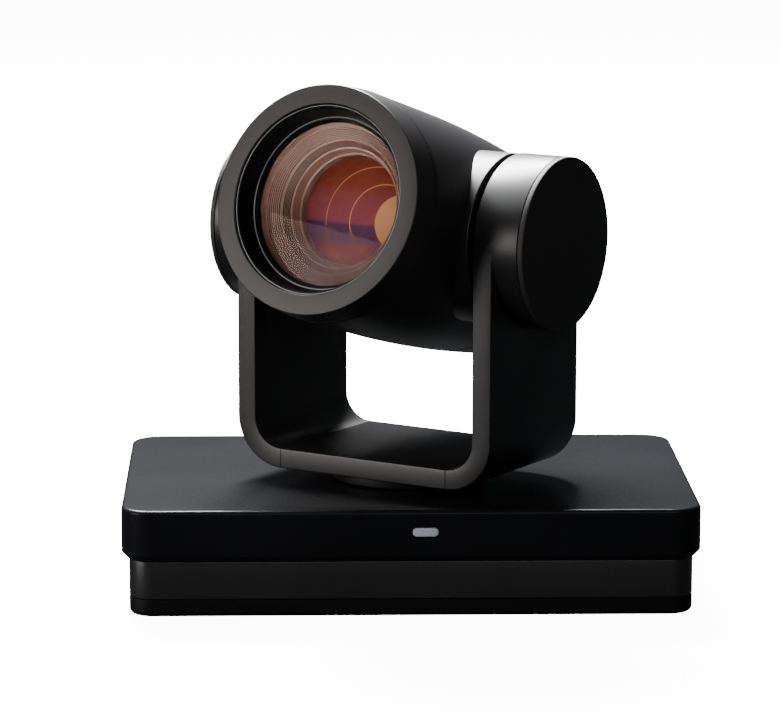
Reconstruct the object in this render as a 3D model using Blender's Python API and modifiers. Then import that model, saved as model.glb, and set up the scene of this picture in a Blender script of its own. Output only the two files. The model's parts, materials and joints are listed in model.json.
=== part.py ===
"""A desk-top pan-tilt-zoom camera: a low base, a U-shaped yoke that pans on it, and a round head
with a zoom lens that tilts in the yoke.

Metres, +Z up. The origin lies on the desk under the middle of the base. The lens side of the base
faces -Y, and +X is on the right of someone who looks at that side. Positions in the yoke are given
from the pan axis, and those in the head from the tilt axis, with the lens pointing along the
head's own +Z.
"""

import math

import bmesh
import bpy

# Fits
CLEARANCE = 0.0003  # between pieces that are seated in or fastened to each other
RUNNING_GAP = 0.0005  # between pieces that turn past each other
OVERCUT = 0.0100  # how far a cutter runs past the face that it opens
BASE_STEPS = 4  # segments in each rounded corner of the base
ROUND_STEPS = 36  # sides of the head, hubs and drums
SMALL_STEPS = 18  # sides of shafts, bearings and pulleys
TINY_STEPS = 10  # sides of screws and pins

# Base: a top cover whose lip overhangs a band and a tray
BASE_WIDTH = 0.2220
BASE_DEPTH = 0.1462
BASE_TOP = 0.0430
BASE_CORNER = 0.0122
LIP_FACE = 0.0177
LIP_CHAMFER = 0.0023
LIP_OVERHANG = 0.0029
TOP_EDGE = 0.0016
COVER_WALL = 0.0035
COVER_CEILING = 0.0025
BAND_WALL = 0.0025
TRAY_TOP = 0.0078
TRAY_FLOOR = 0.0020
TRAY_EDGE = 0.0022
FOOT_RADIUS = 0.0080
FOOT_STAND = 0.0010  # height of the tray above the desk
FOOT_SEAT = 0.0012
FOOT_INSET = 0.0220
POST_RADIUS = 0.0040
POST_INSET = 0.0110
POST_DROP = 0.0230  # top of the tray's posts below the base's top
TRIPOD_PLATE_TOP = 0.0070
TRIPOD_PLATE_STEP = 0.0030  # the plate's flange rests on the tray's floor by this much
THREAD_RADIUS = 0.003175  # the 1/4-20 UNC camera thread
STATUS_LENS_WIDTH = 0.0100
STATUS_LENS_HEIGHT = 0.0034
STATUS_LENS_X = 0.0050
STATUS_LENS_DROP = 0.0085  # centre of the status lens below the base's top

# Fasteners: M3 pan-head screws
SCREW_RADIUS = 0.0015
SCREW_HEAD_RADIUS = 0.0028
SCREW_HEAD_HEIGHT = 0.0018
SCREW_RECESS = 0.0004
SCREW_GRIP = 0.0080  # thread inside the piece that the screw holds

# Boards and the connector panel at the back of the base
BOARD_THICKNESS = 0.0016
BOARD_DEPTH = 0.0420
BOARD_BOTTOM = 0.0080
BOARD_SETBACK = 0.0035  # board's back edge to the connector panel
PANEL_INSET = 0.0221  # end of the panel to the side of the base's lower body
PANEL_LAP = 0.0040  # panel hidden at each end of its window
PANEL_THICKNESS = 0.0012
PANEL_DROP = 0.0110  # top of the panel below the base's top
PANEL_REVEAL = 0.0020  # panel hidden above its window
CONNECTOR_PROUD = 0.0010
FRONT_BOARD_WIDTH = 0.0500
FRONT_BOARD_THICKNESS = 0.0012
FRONT_BOARD_HEADROOM = 0.0025
FRONT_BOARD_BOTTOM = 0.0100
FRONT_BOARD_SETBACK = 0.0067  # from the band's inner face

# Pan drive
PAN_AXIS_Y = -0.0077
PAN_REST = math.radians(-33.66)
SPINDLE_RADIUS = 0.0110
SPINDLE_BORE = 0.0070
SPINDLE_LENGTH = 0.0340
BEARING_RING = 0.0050  # from a bearing's bore to its outside
BEARING_WIDTH = 0.0070
PEDESTAL_WALL = 0.0030
PEDESTAL_LIP = 0.0047  # the pedestal's flange beyond its tube
PLATE_STEP = 0.0060  # the pedestal's flange beyond the tripod plate that it stands on
TURNTABLE_RADIUS = 0.0300
PULLEY_RING = 0.0085  # from the pan pulley's bore to its groove
BELT_RATIO = 3.0  # turns of a motor for each turn of its axis
PAN_BELT_WIDTH = 0.0060
PULLEY_RISE = 0.0015  # underside of the pan pulley above the pedestal
PULLEY_HEADROOM = 0.0008  # from the pan pulley to the cover's ceiling
MOTOR_GAP = 0.0025  # from the motor's bracket to the pedestal
PULLEY_RIM = 0.0015  # height of a pulley's flanges above its groove
PULLEY_CHEEK = 0.0008  # thickness of a pulley's flanges
BELT_THICKNESS = 0.0013
MOTOR_SIDE = 0.0350
MOTOR_LENGTH = 0.0200
MOTOR_BOSS_RADIUS = 0.0110
MOTOR_SHAFT_RADIUS = 0.0025
BRACKET_THICKNESS = 0.0020
BRACKET_FOOT = 0.0060

# Yoke
ARM_THICKNESS = 0.0082
BRIDGE_THICKNESS = 0.0078
YOKE_LIFT = 0.0045  # underside of the yoke above the base
YOKE_CORNER = 0.0200
DRUM_RADIUS = 0.0335
DRUM_PROUD = 0.0134  # from an arm's outer face to the face of its drum's cap
DRUM_WALL = 0.0025
DRUM_BACK = 0.0040  # wall behind the drum's hollow, which holds the bearing
DRUM_CAP = 0.0022
CAP_EDGE = 0.0006
CAP_SPIGOT = 0.0015

# Tilt drive
UNDER_HEAD = 0.0406  # gap from the bridge to the head
TILT_REST = math.radians(16.74)
SHAFT_RADIUS = 0.0057
SHAFT_BORE = 0.0035
FLANGE_STEP = 0.0052  # from a hub's edge to the shaft's flange
SHAFT_SPIGOT = 0.0100
TILT_BEARING_RADIUS = 0.0095
TILT_PULLEY_RADIUS = 0.0120
TILT_BELT_WIDTH = 0.0030
TILT_MOTOR_RADIUS = 0.0100
TILT_MOTOR_GAP = 0.0017  # from the motor to the drum's wall
TILT_MOTOR_LENGTH = 0.0085
TILT_MOTOR_SHAFT_RADIUS = 0.0010
SENSOR_BOARD = (0.0160, 0.0300, 0.0012)
SENSOR_INSET = 0.0122  # middle of the sensor board to the drum's wall

# Head
HEAD_RADIUS = 0.0453
HEAD_WALL = 0.0025
TAPER_START = 0.0200  # ahead of the tilt axis, the head narrows from here to the back
TAPER_RATE = 0.7600
HOOD_SEAM = 0.0570
HUB_TO_SEAM = 0.0048  # from a hub's edge to the rear cover's seam
REAR_LENGTH = 0.0320
REAR_EDGE = 0.0090
HUB_STEP = 0.0003  # a drum's radius beyond a hub's
HUB_PROUD = 0.0016  # a hub's face beyond the head's widest side
HUB_GAP = 0.0027  # from a hub to its arm
HOOD_LENGTH = 0.0116
HOOD_TAPER = 0.0011  # the hood's front is smaller than the head by this
RING_WIDTH = 0.0076  # of the hood's flat face
RING_EDGE = 0.0004

# Lens
GLASS_RECESS = 0.0110  # edge of the front glass behind the hood's face
GLASS_GAP = 0.0005  # from the glass to the bezel's throat
GLASS_BULGE = 0.0020
GLASS_THICKNESS = 0.0022
BEZEL_STEP = 0.0010
BEZEL_RIM = 0.0009  # width of the bezel's lip at the mouth
BEZEL_FUNNEL = 0.0028  # the bezel's mouth is wider than its throat by this
BEZEL_SILL = 0.0002  # the throat in front of the retaining ring
RETAINER_LAP = 0.0010  # the retaining ring over the glass
RETAINER_THICKNESS = 0.0016
BARREL_RIM = 0.0018  # the barrel's wall around the glass
GLASS_SEAT = 0.0019  # the barrel's ledge behind the glass
BAFFLE_DEPTH = 0.0056  # the cone behind the front glass, which keeps stray light out
BAFFLE_WIDTH = 0.0095
BAFFLE_LIP = 0.0025
BARREL_STEP = 0.0240  # where the wide front of the barrel ends
BARREL_NARROWING = 0.0072
BARREL_WALL = 0.0030
BARREL_OVERHANG = 0.0020  # the barrel's end behind the rear cover's seam
CELL_RING = 0.0090  # width of the ring around a moving lens
CELL_LENS_BULGE = 0.0025
ZOOM_CELL_START = 0.0030  # the zoom group behind the barrel's step
ZOOM_CELL_LENGTH = 0.0090
FOCUS_CELL_START = 0.0035  # the focus group behind the iris
FOCUS_CELL_LENGTH = 0.0060
IRIS_FRONT = -0.0150
IRIS_THICKNESS = 0.0025
IRIS_APERTURE = 0.0090
LENS_MOTOR_RADIUS = 0.0050
LENS_MOTOR_LENGTH = 0.0140
LEAD_SCREW_RADIUS = 0.0012
LEAD_SCREW_LENGTH = 0.0300
IMAGE_BOARD = (0.0420, 0.0420, 0.0016)
IMAGE_CHIP = (0.0120, 0.0100, 0.0020)
PROCESSOR_BOARD = (0.0520, 0.0440, 0.0016)
PROCESSOR_CHIP = (0.0200, 0.0200, 0.0030)
BOARD_PITCH = 0.0080  # between the two boards behind the lens

# Power switch
SWITCH_INSET = 0.0120  # middle of the switch to the end of the panel's window
SWITCH_FRAME = (0.0210, 0.0150, 0.0130)
SWITCH_Z = 0.0190
SWITCH_WALL = 0.0017
ROCKER_TILT = math.radians(7)
ROCKER_HEIGHT = 0.0024
ROCKER_DIP = 0.0013
ROCKER_DEPTH = 0.0030

# Sockets: name, place along X, then width, height and depth of the body and of its mouth
SQUARE_SOCKETS = (
    ("network_jack", 0.0130, (0.0160, 0.0135, 0.0210), (0.0120, 0.0080, 0.0120)),
    ("usb_port", -0.0080, (0.0145, 0.0071, 0.0140), (0.0125, 0.0051, 0.0100)),
    ("hdmi_port", -0.0280, (0.0150, 0.0060, 0.0120), (0.0140, 0.0046, 0.0090)),
)
# Round sockets: the same, with a mouth of radius and depth, and the radius of its centre pin
ROUND_SOCKETS = (
    ("serial_port", 0.0340, (0.0140, 0.0130, 0.0130), (0.0048, 0.0060), 0.0),
    ("power_jack", 0.0500, (0.0090, 0.0110, 0.0140), (0.0032, 0.0090), 0.0010),
    ("video_connector", -0.0500, (0.0130, 0.0130, 0.0110), (0.0034, 0.0085), 0.0009),
)
VIDEO_BARREL_RADIUS = 0.0048
VIDEO_BARREL_LENGTH = 0.0080

# Places and sizes that follow from those above: the base
LIP_BOTTOM = BASE_TOP - LIP_FACE - LIP_CHAMFER
LOWER_WIDTH = BASE_WIDTH - 2 * LIP_OVERHANG
LOWER_DEPTH = BASE_DEPTH - 2 * LIP_OVERHANG
LOWER_CORNER = BASE_CORNER - LIP_OVERHANG
POST_TOP = BASE_TOP - POST_DROP
FLOOR_TOP = FOOT_STAND + TRAY_FLOOR
CEILING = BASE_TOP - COVER_CEILING
BOARD_TOP = BOARD_BOTTOM + BOARD_THICKNESS
PANEL_WIDTH = LOWER_WIDTH - 2 * PANEL_INSET
PANEL_WINDOW = PANEL_WIDTH - 2 * PANEL_LAP
PANEL_TOP = BASE_TOP - PANEL_DROP
PANEL_BACK = LOWER_DEPTH / 2 - BAND_WALL - CLEARANCE
BOARD_WIDTH = PANEL_WINDOW - PANEL_LAP
BOARD_BACK = PANEL_BACK - PANEL_THICKNESS - BOARD_SETBACK
CONNECTOR_BACK = PANEL_BACK + CONNECTOR_PROUD
FRONT_BOARD_HEIGHT = CEILING - FRONT_BOARD_HEADROOM - FRONT_BOARD_BOTTOM
SWITCH_X = PANEL_WINDOW / 2 - SWITCH_INSET
CORNER_SIGNS = ((-1, -1), (1, -1), (1, 1), (-1, 1))

# The pan drive, which hangs from the base's top
BEARING_RADIUS = SPINDLE_RADIUS + BEARING_RING
PEDESTAL_TUBE = BEARING_RADIUS + CLEARANCE + PEDESTAL_WALL
PEDESTAL_FLANGE = PEDESTAL_TUBE + PEDESTAL_LIP
TRIPOD_PLATE_RADIUS = PEDESTAL_FLANGE - PLATE_STEP
TRIPOD_FACE_RADIUS = TRIPOD_PLATE_RADIUS - TRIPOD_PLATE_STEP
PAN_PULLEY_RADIUS = SPINDLE_RADIUS + PULLEY_RING
PAN_MOTOR_PULLEY_RADIUS = PAN_PULLEY_RADIUS / BELT_RATIO
PULLEY_SIDES = 2 * (PULLEY_CHEEK + CLEARANCE)
PAN_PULLEY_BOTTOM = CEILING - PULLEY_HEADROOM - PAN_BELT_WIDTH - PULLEY_SIDES
PEDESTAL_TOP = PAN_PULLEY_BOTTOM - PULLEY_RISE
BRACKET_SPAN = MOTOR_SIDE + 2 * BRACKET_THICKNESS
BRACKET_OUTSIDE = BRACKET_SPAN + 2 * BRACKET_THICKNESS
PAN_BELT_CENTRES = PEDESTAL_FLANGE + MOTOR_GAP + BRACKET_OUTSIDE / 2

# The head and its lens, ahead of the tilt axis
HUB_RADIUS = DRUM_RADIUS - HUB_STEP
HUB_REACH = HEAD_RADIUS + HUB_PROUD
REAR_SEAM = -HUB_RADIUS - HUB_TO_SEAM
REAR_END = REAR_SEAM - REAR_LENGTH
RING_FACE = HOOD_SEAM + HOOD_LENGTH
RING_RADIUS = HEAD_RADIUS - HOOD_TAPER
RING_BORE = RING_RADIUS - RING_WIDTH
BEZEL_MOUTH = RING_BORE - BEZEL_RIM
BEZEL_THROAT = BEZEL_MOUTH - BEZEL_FUNNEL
GLASS_RADIUS = BEZEL_THROAT - GLASS_GAP
GLASS_RIM = RING_FACE - GLASS_RECESS
BEZEL_THROAT_FACE = GLASS_RIM + CLEARANCE + RETAINER_THICKNESS + BEZEL_SILL
BEZEL_BACK = GLASS_RIM - CLEARANCE
RETAINER_BORE = GLASS_RADIUS - RETAINER_LAP
BARREL_FRONT_RADIUS = GLASS_RADIUS + BARREL_RIM
BARREL_FRONT_BORE = GLASS_RADIUS - GLASS_SEAT
BAFFLE_BORE = BARREL_FRONT_BORE - BAFFLE_WIDTH
BARREL_REAR_RADIUS = BARREL_FRONT_RADIUS - BARREL_NARROWING
BARREL_REAR_BORE = BARREL_REAR_RADIUS - BARREL_WALL
BARREL_END = REAR_SEAM - BARREL_OVERHANG
CELL_LENS_RADIUS = BARREL_REAR_BORE - CELL_RING
ZOOM_CELL_FRONT = BARREL_STEP - ZOOM_CELL_START
FOCUS_CELL_FRONT = IRIS_FRONT - IRIS_THICKNESS - FOCUS_CELL_START

# The yoke, which the head's width and the base's height set
ARM_INNER = HUB_REACH + HUB_GAP
YOKE_HALF_WIDTH = ARM_INNER + ARM_THICKNESS
YOKE_BOTTOM = BASE_TOP + YOKE_LIFT
BRIDGE_HALF = YOKE_HALF_WIDTH - YOKE_CORNER
BRIDGE_TOP = YOKE_BOTTOM + BRIDGE_THICKNESS
TILT_AXIS_Z = BRIDGE_TOP + UNDER_HEAD + HEAD_RADIUS
DRUM_REACH = YOKE_HALF_WIDTH + DRUM_PROUD
DRUM_FLOOR = ARM_INNER + DRUM_BACK
DRUM_RIM = DRUM_REACH - DRUM_CAP - CLEARANCE
DRUM_BORE = DRUM_RADIUS - DRUM_WALL
FLANGE_OUTER = ARM_INNER - CLEARANCE
FLANGE_INNER = HUB_REACH + CLEARANCE
SHAFT_FLANGE = HUB_RADIUS - FLANGE_STEP
TILT_MOTOR_PULLEY_RADIUS = TILT_PULLEY_RADIUS / BELT_RATIO
TILT_BELT_CENTRES = DRUM_BORE - TILT_MOTOR_GAP - TILT_MOTOR_RADIUS
TILT_PULLEY_INNER = DRUM_FLOOR + CLEARANCE + TILT_MOTOR_LENGTH + RUNNING_GAP
MIRROR_SIDES = (("left", -1), ("right", 1))

ALONG_X = (0.0, math.pi / 2, 0.0)  # turns a piece's own +Z to +X
ALONG_Y = (-math.pi / 2, 0.0, 0.0)  # turns it to +Y
UPRIGHT = (math.pi / 2, 0.0, 0.0)  # turns an outline's own XY plane to XZ


# --- The scene and its materials ---

for old in list(bpy.data.objects):
    bpy.data.objects.remove(old)
PARTS = bpy.data.collections.new("ptz_camera")
TOOLS = bpy.data.collections.new("cutters_and_guides")
for group in (PARTS, TOOLS):
    bpy.context.scene.collection.children.link(group)


def finish(name, color, roughness, metallic=0.0):
    """A plain material of this colour."""
    material = bpy.data.materials.new(name)
    material.use_nodes = True
    shader = material.node_tree.nodes["Principled BSDF"]
    shader.inputs["Base Color"].default_value = (*color, 1.0)
    shader.inputs["Roughness"].default_value = roughness
    shader.inputs["Metallic"].default_value = metallic
    return material


SHELL_BLACK = finish("satin_black_shell", (0.012, 0.012, 0.014), 0.38)
FACE_GREY = finish("dark_grey_face", (0.050, 0.046, 0.045), 0.45)
BAND_BLACK = finish("smoked_black_band", (0.016, 0.016, 0.017), 0.30)
RUBBER = finish("black_rubber", (0.015, 0.015, 0.015), 0.90)
STEEL = finish("machined_steel", (0.55, 0.55, 0.56), 0.30, 1.0)
ALUMINIUM = finish("cast_aluminium", (0.50, 0.50, 0.51), 0.45, 1.0)
BOARD_GREEN = finish("circuit_board", (0.02, 0.10, 0.05), 0.50)
PLASTIC = finish("moulded_black_plastic", (0.020, 0.020, 0.021), 0.50)
LENS_GLASS = finish("coated_glass", (0.20, 0.09, 0.08), 0.05)
STATUS_CLEAR = finish("status_lens_plastic", (0.55, 0.62, 0.68), 0.25)


# --- Making and placing pieces ---


def axis(name, parent=None, location=(0.0, 0.0, 0.0), rotation=(0.0, 0.0, 0.0)):
    """An empty that stands for an axis, which pieces are parented to."""
    empty = bpy.data.objects.new(name, None)
    TOOLS.objects.link(empty)
    empty.parent = parent
    empty.location = location
    empty.rotation_euler = rotation
    return empty


def piece(name, mesh, look, parent=None, location=(0.0, 0.0, 0.0), rotation=(0.0, 0.0, 0.0)):
    """One part of the camera, in its own object."""
    mesh.name = name
    mesh.materials.clear()
    mesh.materials.append(look)
    made = bpy.data.objects.new(name, mesh)
    PARTS.objects.link(made)
    made.parent = parent
    made.location = location
    made.rotation_euler = rotation
    return made


def change(target, operation, mesh, location, rotation):
    """Cuts a mesh from a piece or joins it on, placed in the frame of the piece's parent."""
    tool = bpy.data.objects.new(f"{target.name}_{operation.lower()}", mesh)
    TOOLS.objects.link(tool)
    tool.parent = target.parent
    tool.location = location
    tool.rotation_euler = rotation
    tool.hide_render = True
    tool.display_type = "WIRE"
    boolean = target.modifiers.new(operation.lower(), "BOOLEAN")
    boolean.operation = operation
    boolean.object = tool


def cut(target, mesh, location=(0.0, 0.0, 0.0), rotation=(0.0, 0.0, 0.0)):
    change(target, "DIFFERENCE", mesh, location, rotation)


def join(target, mesh, location=(0.0, 0.0, 0.0), rotation=(0.0, 0.0, 0.0)):
    change(target, "UNION", mesh, location, rotation)


def tidied(bm, name):
    """The mesh of a bmesh, with its seams welded, its faces outwards and its round sides smooth."""
    bmesh.ops.remove_doubles(bm, verts=bm.verts, dist=1e-6)
    bmesh.ops.recalc_face_normals(bm, faces=bm.faces)
    mesh = bpy.data.meshes.new(name)
    bm.to_mesh(mesh)
    bm.free()
    mesh.shade_smooth()
    mesh.set_sharp_from_angle(angle=math.radians(35))
    return mesh


def evaluated(guide, name):
    """The mesh that a guide object's modifiers or curve make; the guide is removed."""
    bpy.context.scene.collection.objects.link(guide)
    graph = bpy.context.evaluated_depsgraph_get()
    made = bpy.data.meshes.new_from_object(guide.evaluated_get(graph))
    bpy.data.objects.remove(guide)
    bm = bmesh.new()
    bm.from_mesh(made)
    bpy.data.meshes.remove(made)
    return tidied(bm, name)


def block(size, corner=0.0, top=0.0, bottom=0.0, steps=BASE_STEPS):
    """A box that stands on its origin, with rounded upright edges and rounded or chamfered rims."""
    bm = bmesh.new()
    bmesh.ops.create_cube(bm, size=1.0)
    bmesh.ops.scale(bm, vec=size, verts=bm.verts)
    bmesh.ops.translate(bm, vec=(0.0, 0.0, size[2] / 2), verts=bm.verts)
    upright = [e for e in bm.edges if abs(e.verts[0].co.z - e.verts[1].co.z) > size[2] / 2]
    if corner:
        bmesh.ops.bevel(bm, geom=upright, offset=corner, segments=steps, profile=0.5, affect="EDGES")
    for height, radius, count in ((size[2], top, 3), (0.0, bottom, 1)):
        rim = [e for e in bm.edges if all(abs(v.co.z - height) < 1e-7 for v in e.verts)]
        if radius:
            bmesh.ops.bevel(bm, geom=rim, offset=radius, segments=count, profile=0.5, affect="EDGES")
    return tidied(bm, "block")


def cylinder(radius, length, steps=SMALL_STEPS):
    """A cylinder that stands on its origin."""
    bm = bmesh.new()
    bmesh.ops.create_cone(
        bm, cap_ends=True, segments=steps, radius1=radius, radius2=radius, depth=length
    )
    bmesh.ops.translate(bm, vec=(0.0, 0.0, length / 2), verts=bm.verts)
    return tidied(bm, "cylinder")


def turned(profile, steps=SMALL_STEPS, ring=False):
    """A profile of (radius, height) points turned about Z, down its outer side. A ring's is closed."""
    last = len(profile) - 1
    edges = [(i, i + 1) for i in range(last)] + ([(last, 0)] if ring else [])
    line = bpy.data.meshes.new("profile")
    line.from_pydata([(radius, 0.0, height) for radius, height in profile], edges, [])
    guide = bpy.data.objects.new("profile", line)
    screw = guide.modifiers.new("turn", "SCREW")
    screw.steps = screw.render_steps = steps
    screw.use_merge_vertices = True
    screw.merge_threshold = 1e-6
    return evaluated(guide, "turned")


def tube(outer, inner, bottom, top, steps=SMALL_STEPS):
    """A plain ring between two heights."""
    return turned([(outer, top), (outer, bottom), (inner, bottom), (inner, top)], steps, ring=True)


def plate(outlines, thickness):
    """A flat plate about its own XY plane: the first outline is its edge, any others its holes."""
    curve = bpy.data.curves.new("outline", "CURVE")
    curve.dimensions = "2D"
    curve.fill_mode = "BOTH"
    curve.extrude = thickness / 2
    for outline in outlines:
        spline = curve.splines.new("POLY")
        spline.points.add(len(outline) - 1)
        for point, (x, y) in zip(spline.points, outline):
            point.co = (x, y, 0.0, 1.0)
        spline.use_cyclic_u = True
    return evaluated(bpy.data.objects.new("outline", curve), "plate")


def arc(centre, radius, start, end, steps):
    """Points along an arc, with its angles in degrees from +X."""
    angles = [math.radians(start + (end - start) * i / steps) for i in range(steps + 1)]
    return [(centre[0] + radius * math.cos(a), centre[1] + radius * math.sin(a)) for a in angles]


# --- Base ---


def screw(name, parent, location, length):
    """An M3 screw with its head down, from the underside of the head."""
    profile = [
        (0.0, SCREW_HEAD_HEIGHT + length),
        (SCREW_RADIUS, SCREW_HEAD_HEIGHT + length),
        (SCREW_RADIUS, SCREW_HEAD_HEIGHT),
        (SCREW_HEAD_RADIUS, SCREW_HEAD_HEIGHT),
        (SCREW_HEAD_RADIUS, 0.0),
        (0.0, 0.0),
    ]
    piece(name, turned(profile, TINY_STEPS), STEEL, parent, location)


def screw_hole(target, location, length):
    """A stepped hole for that screw, open at the head's side."""
    shank = SCREW_RADIUS + CLEARANCE
    head = SCREW_HEAD_RADIUS + CLEARANCE
    depth = SCREW_HEAD_HEIGHT + CLEARANCE
    profile = [
        (0.0, length + depth),
        (shank, length + depth),
        (shank, depth),
        (head, depth),
        (head, -OVERCUT),
        (0.0, -OVERCUT),
    ]
    cut(target, turned(profile, TINY_STEPS), location)


def post_places(inset):
    """Four places at this distance from the sides of the base's lower body, by name."""
    names = ("front_left", "front_right", "back_right", "back_left")
    x, y = LOWER_WIDTH / 2 - inset, LOWER_DEPTH / 2 - inset
    return [(name, sx * x, sy * y) for name, (sx, sy) in zip(names, CORNER_SIGNS)]


COVER_SCREW_Z = FOOT_STAND + SCREW_RECESS
COVER_SCREW_LENGTH = POST_TOP + SCREW_GRIP - COVER_SCREW_Z - SCREW_HEAD_HEIGHT


def panel_window(target, top):
    """Opens the back of the base so that the connectors can be reached."""
    depth = BASE_DEPTH / 2 - PANEL_BACK + OVERCUT
    size = (PANEL_WINDOW, depth, top - TRAY_TOP + OVERCUT)
    cut(target, block(size), (0.0, PANEL_BACK - CLEARANCE + depth / 2, TRAY_TOP - OVERCUT))


def base_top_cover():
    """The deep lid of the base, hollow from below, with a boss for each screw."""
    height = BASE_TOP - LIP_BOTTOM
    shape = block((BASE_WIDTH, BASE_DEPTH, height), BASE_CORNER, TOP_EDGE, LIP_CHAMFER)
    cover = piece("base_top_cover", shape, SHELL_BLACK, None, (0.0, 0.0, LIP_BOTTOM))
    inside = (
        BASE_WIDTH - 2 * COVER_WALL,
        BASE_DEPTH - 2 * COVER_WALL,
        CEILING - LIP_BOTTOM + OVERCUT,
    )
    cut(cover, block(inside, BASE_CORNER - COVER_WALL), (0.0, 0.0, LIP_BOTTOM - OVERCUT))
    boss_bottom = POST_TOP + CLEARANCE
    boss = cylinder(POST_RADIUS, CEILING + COVER_CEILING / 2 - boss_bottom, TINY_STEPS)
    thread = cylinder(SCREW_RADIUS + CLEARANCE, SCREW_GRIP + CLEARANCE + OVERCUT, TINY_STEPS)
    for _, x, y in post_places(POST_INSET):
        join(cover, boss, (x, y, boss_bottom))
        cut(cover, thread, (x, y, boss_bottom - OVERCUT))
    spindle_hole = cylinder(SPINDLE_RADIUS + RUNNING_GAP, COVER_CEILING + 2 * OVERCUT)
    cut(cover, spindle_hole, (0.0, PAN_AXIS_Y, CEILING - OVERCUT))
    cut(cover, status_lens_shape(CLEARANCE, OVERCUT), status_lens_place(), UPRIGHT)
    panel_window(cover, PANEL_TOP - PANEL_REVEAL)


def status_lens_shape(clearance, extra):
    """A pill with round ends, drawn flat: as a window it is wider by the clearance, and longer."""
    radius = STATUS_LENS_HEIGHT / 2 + clearance
    reach = (STATUS_LENS_WIDTH - STATUS_LENS_HEIGHT) / 2
    outline = arc((reach, 0.0), radius, -90, 90, 6) + arc((-reach, 0.0), radius, 90, 270, 6)
    return plate([outline], COVER_WALL + 2 * extra)


def status_lens_place():
    return (STATUS_LENS_X, -(BASE_DEPTH - COVER_WALL) / 2, BASE_TOP - STATUS_LENS_DROP)


def base_band():
    """The smoked band under the lip, open at the back for the connector panel."""
    bottom, top = TRAY_TOP + CLEARANCE, LIP_BOTTOM - CLEARANCE
    shape = block((LOWER_WIDTH, LOWER_DEPTH, top - bottom), LOWER_CORNER)
    band = piece("base_band", shape, BAND_BLACK, None, (0.0, 0.0, bottom))
    inside = (LOWER_WIDTH - 2 * BAND_WALL, LOWER_DEPTH - 2 * BAND_WALL, top + 2 * OVERCUT)
    cut(band, block(inside, LOWER_CORNER - BAND_WALL), (0.0, 0.0, -OVERCUT))
    panel_window(band, PANEL_TOP)


def base_tray():
    """The floor of the base, with the posts for the cover, the board's pads and the plate's hole."""
    shape = block((LOWER_WIDTH, LOWER_DEPTH, TRAY_TOP - FOOT_STAND), LOWER_CORNER, 0.0, TRAY_EDGE)
    tray = piece("base_tray", shape, SHELL_BLACK, None, (0.0, 0.0, FOOT_STAND))
    inside = (LOWER_WIDTH - 2 * BAND_WALL, LOWER_DEPTH - 2 * BAND_WALL, TRAY_TOP)
    cut(tray, block(inside, LOWER_CORNER - BAND_WALL), (0.0, 0.0, FLOOR_TOP))
    root = FOOT_STAND + TRAY_FLOOR / 2
    post = cylinder(POST_RADIUS, POST_TOP - root, TINY_STEPS)
    seat = cylinder(FOOT_RADIUS + CLEARANCE, FOOT_SEAT + OVERCUT)
    for _, x, y in post_places(POST_INSET):
        join(tray, post, (x, y, root))
        screw_hole(tray, (x, y, COVER_SCREW_Z), COVER_SCREW_LENGTH)
    for _, x, y in post_places(FOOT_INSET):
        cut(tray, seat, (x, y, FOOT_STAND - OVERCUT))
    pad = cylinder(POST_RADIUS / 2, BOARD_BOTTOM - CLEARANCE - root, TINY_STEPS)
    for sx, sy in CORNER_SIGNS:
        x = sx * (BOARD_WIDTH / 2 - POST_RADIUS)
        y = BOARD_BACK - BOARD_DEPTH / 2 + sy * (BOARD_DEPTH / 2 - POST_RADIUS)
        join(tray, pad, (x, y, root))
    plate_hole = cylinder(TRIPOD_FACE_RADIUS + CLEARANCE, 2 * OVERCUT, ROUND_STEPS)
    cut(tray, plate_hole, (0.0, PAN_AXIS_Y, -OVERCUT))


def base_small_pieces():
    """The status lens, the tripod plate, the feet and the screws."""
    piece("status_lens", status_lens_shape(0.0, 0.0), STATUS_CLEAR, None, status_lens_place(), UPRIGHT)
    shoulder = FLOOR_TOP + CLEARANCE
    profile = [
        (TRIPOD_PLATE_RADIUS, TRIPOD_PLATE_TOP),
        (TRIPOD_PLATE_RADIUS, shoulder),
        (TRIPOD_FACE_RADIUS, shoulder),
        (TRIPOD_FACE_RADIUS, 0.0),
        (THREAD_RADIUS, 0.0),
        (THREAD_RADIUS, TRIPOD_PLATE_TOP),
    ]
    shape = turned(profile, ROUND_STEPS, ring=True)
    piece("tripod_plate", shape, STEEL, None, (0.0, PAN_AXIS_Y, 0.0))
    foot = cylinder(FOOT_RADIUS, FOOT_STAND + FOOT_SEAT - CLEARANCE)
    for name, x, y in post_places(FOOT_INSET):
        piece(f"foot_{name}", foot.copy(), RUBBER, None, (x, y, 0.0))
    for name, x, y in post_places(POST_INSET):
        screw(f"cover_screw_{name}", None, (x, y, COVER_SCREW_Z), COVER_SCREW_LENGTH)


def base_boards():
    """The main board, and the small upright board behind the band with the infrared receiver."""
    shape = block((BOARD_WIDTH, BOARD_DEPTH, BOARD_THICKNESS))
    board_y = BOARD_BACK - BOARD_DEPTH / 2
    piece("main_board", shape, BOARD_GREEN, None, (0.0, board_y, BOARD_BOTTOM))
    front_y = -(LOWER_DEPTH / 2 - BAND_WALL - FRONT_BOARD_SETBACK)
    place = (0.0, front_y, FRONT_BOARD_BOTTOM)
    size = (FRONT_BOARD_WIDTH, FRONT_BOARD_THICKNESS, FRONT_BOARD_HEIGHT)
    board = piece("front_board", block(size), BOARD_GREEN, None, place)
    receiver_size = FRONT_BOARD_SETBACK - CLEARANCE
    receiver_place = (0.0, front_y - receiver_size / 2, FRONT_BOARD_BOTTOM + CLEARANCE)
    join(board, block((receiver_size, receiver_size, receiver_size)), receiver_place)


def socket_place(x, height):
    """The middle of a connector's back face, which stands on the main board."""
    return (x, CONNECTOR_BACK, BOARD_TOP + CLEARANCE + height / 2)


def centred_bar(width, height, depth):
    """A bar from its origin along its own +Z, with its height along its own Y."""
    return block((width, height, depth))


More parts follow.
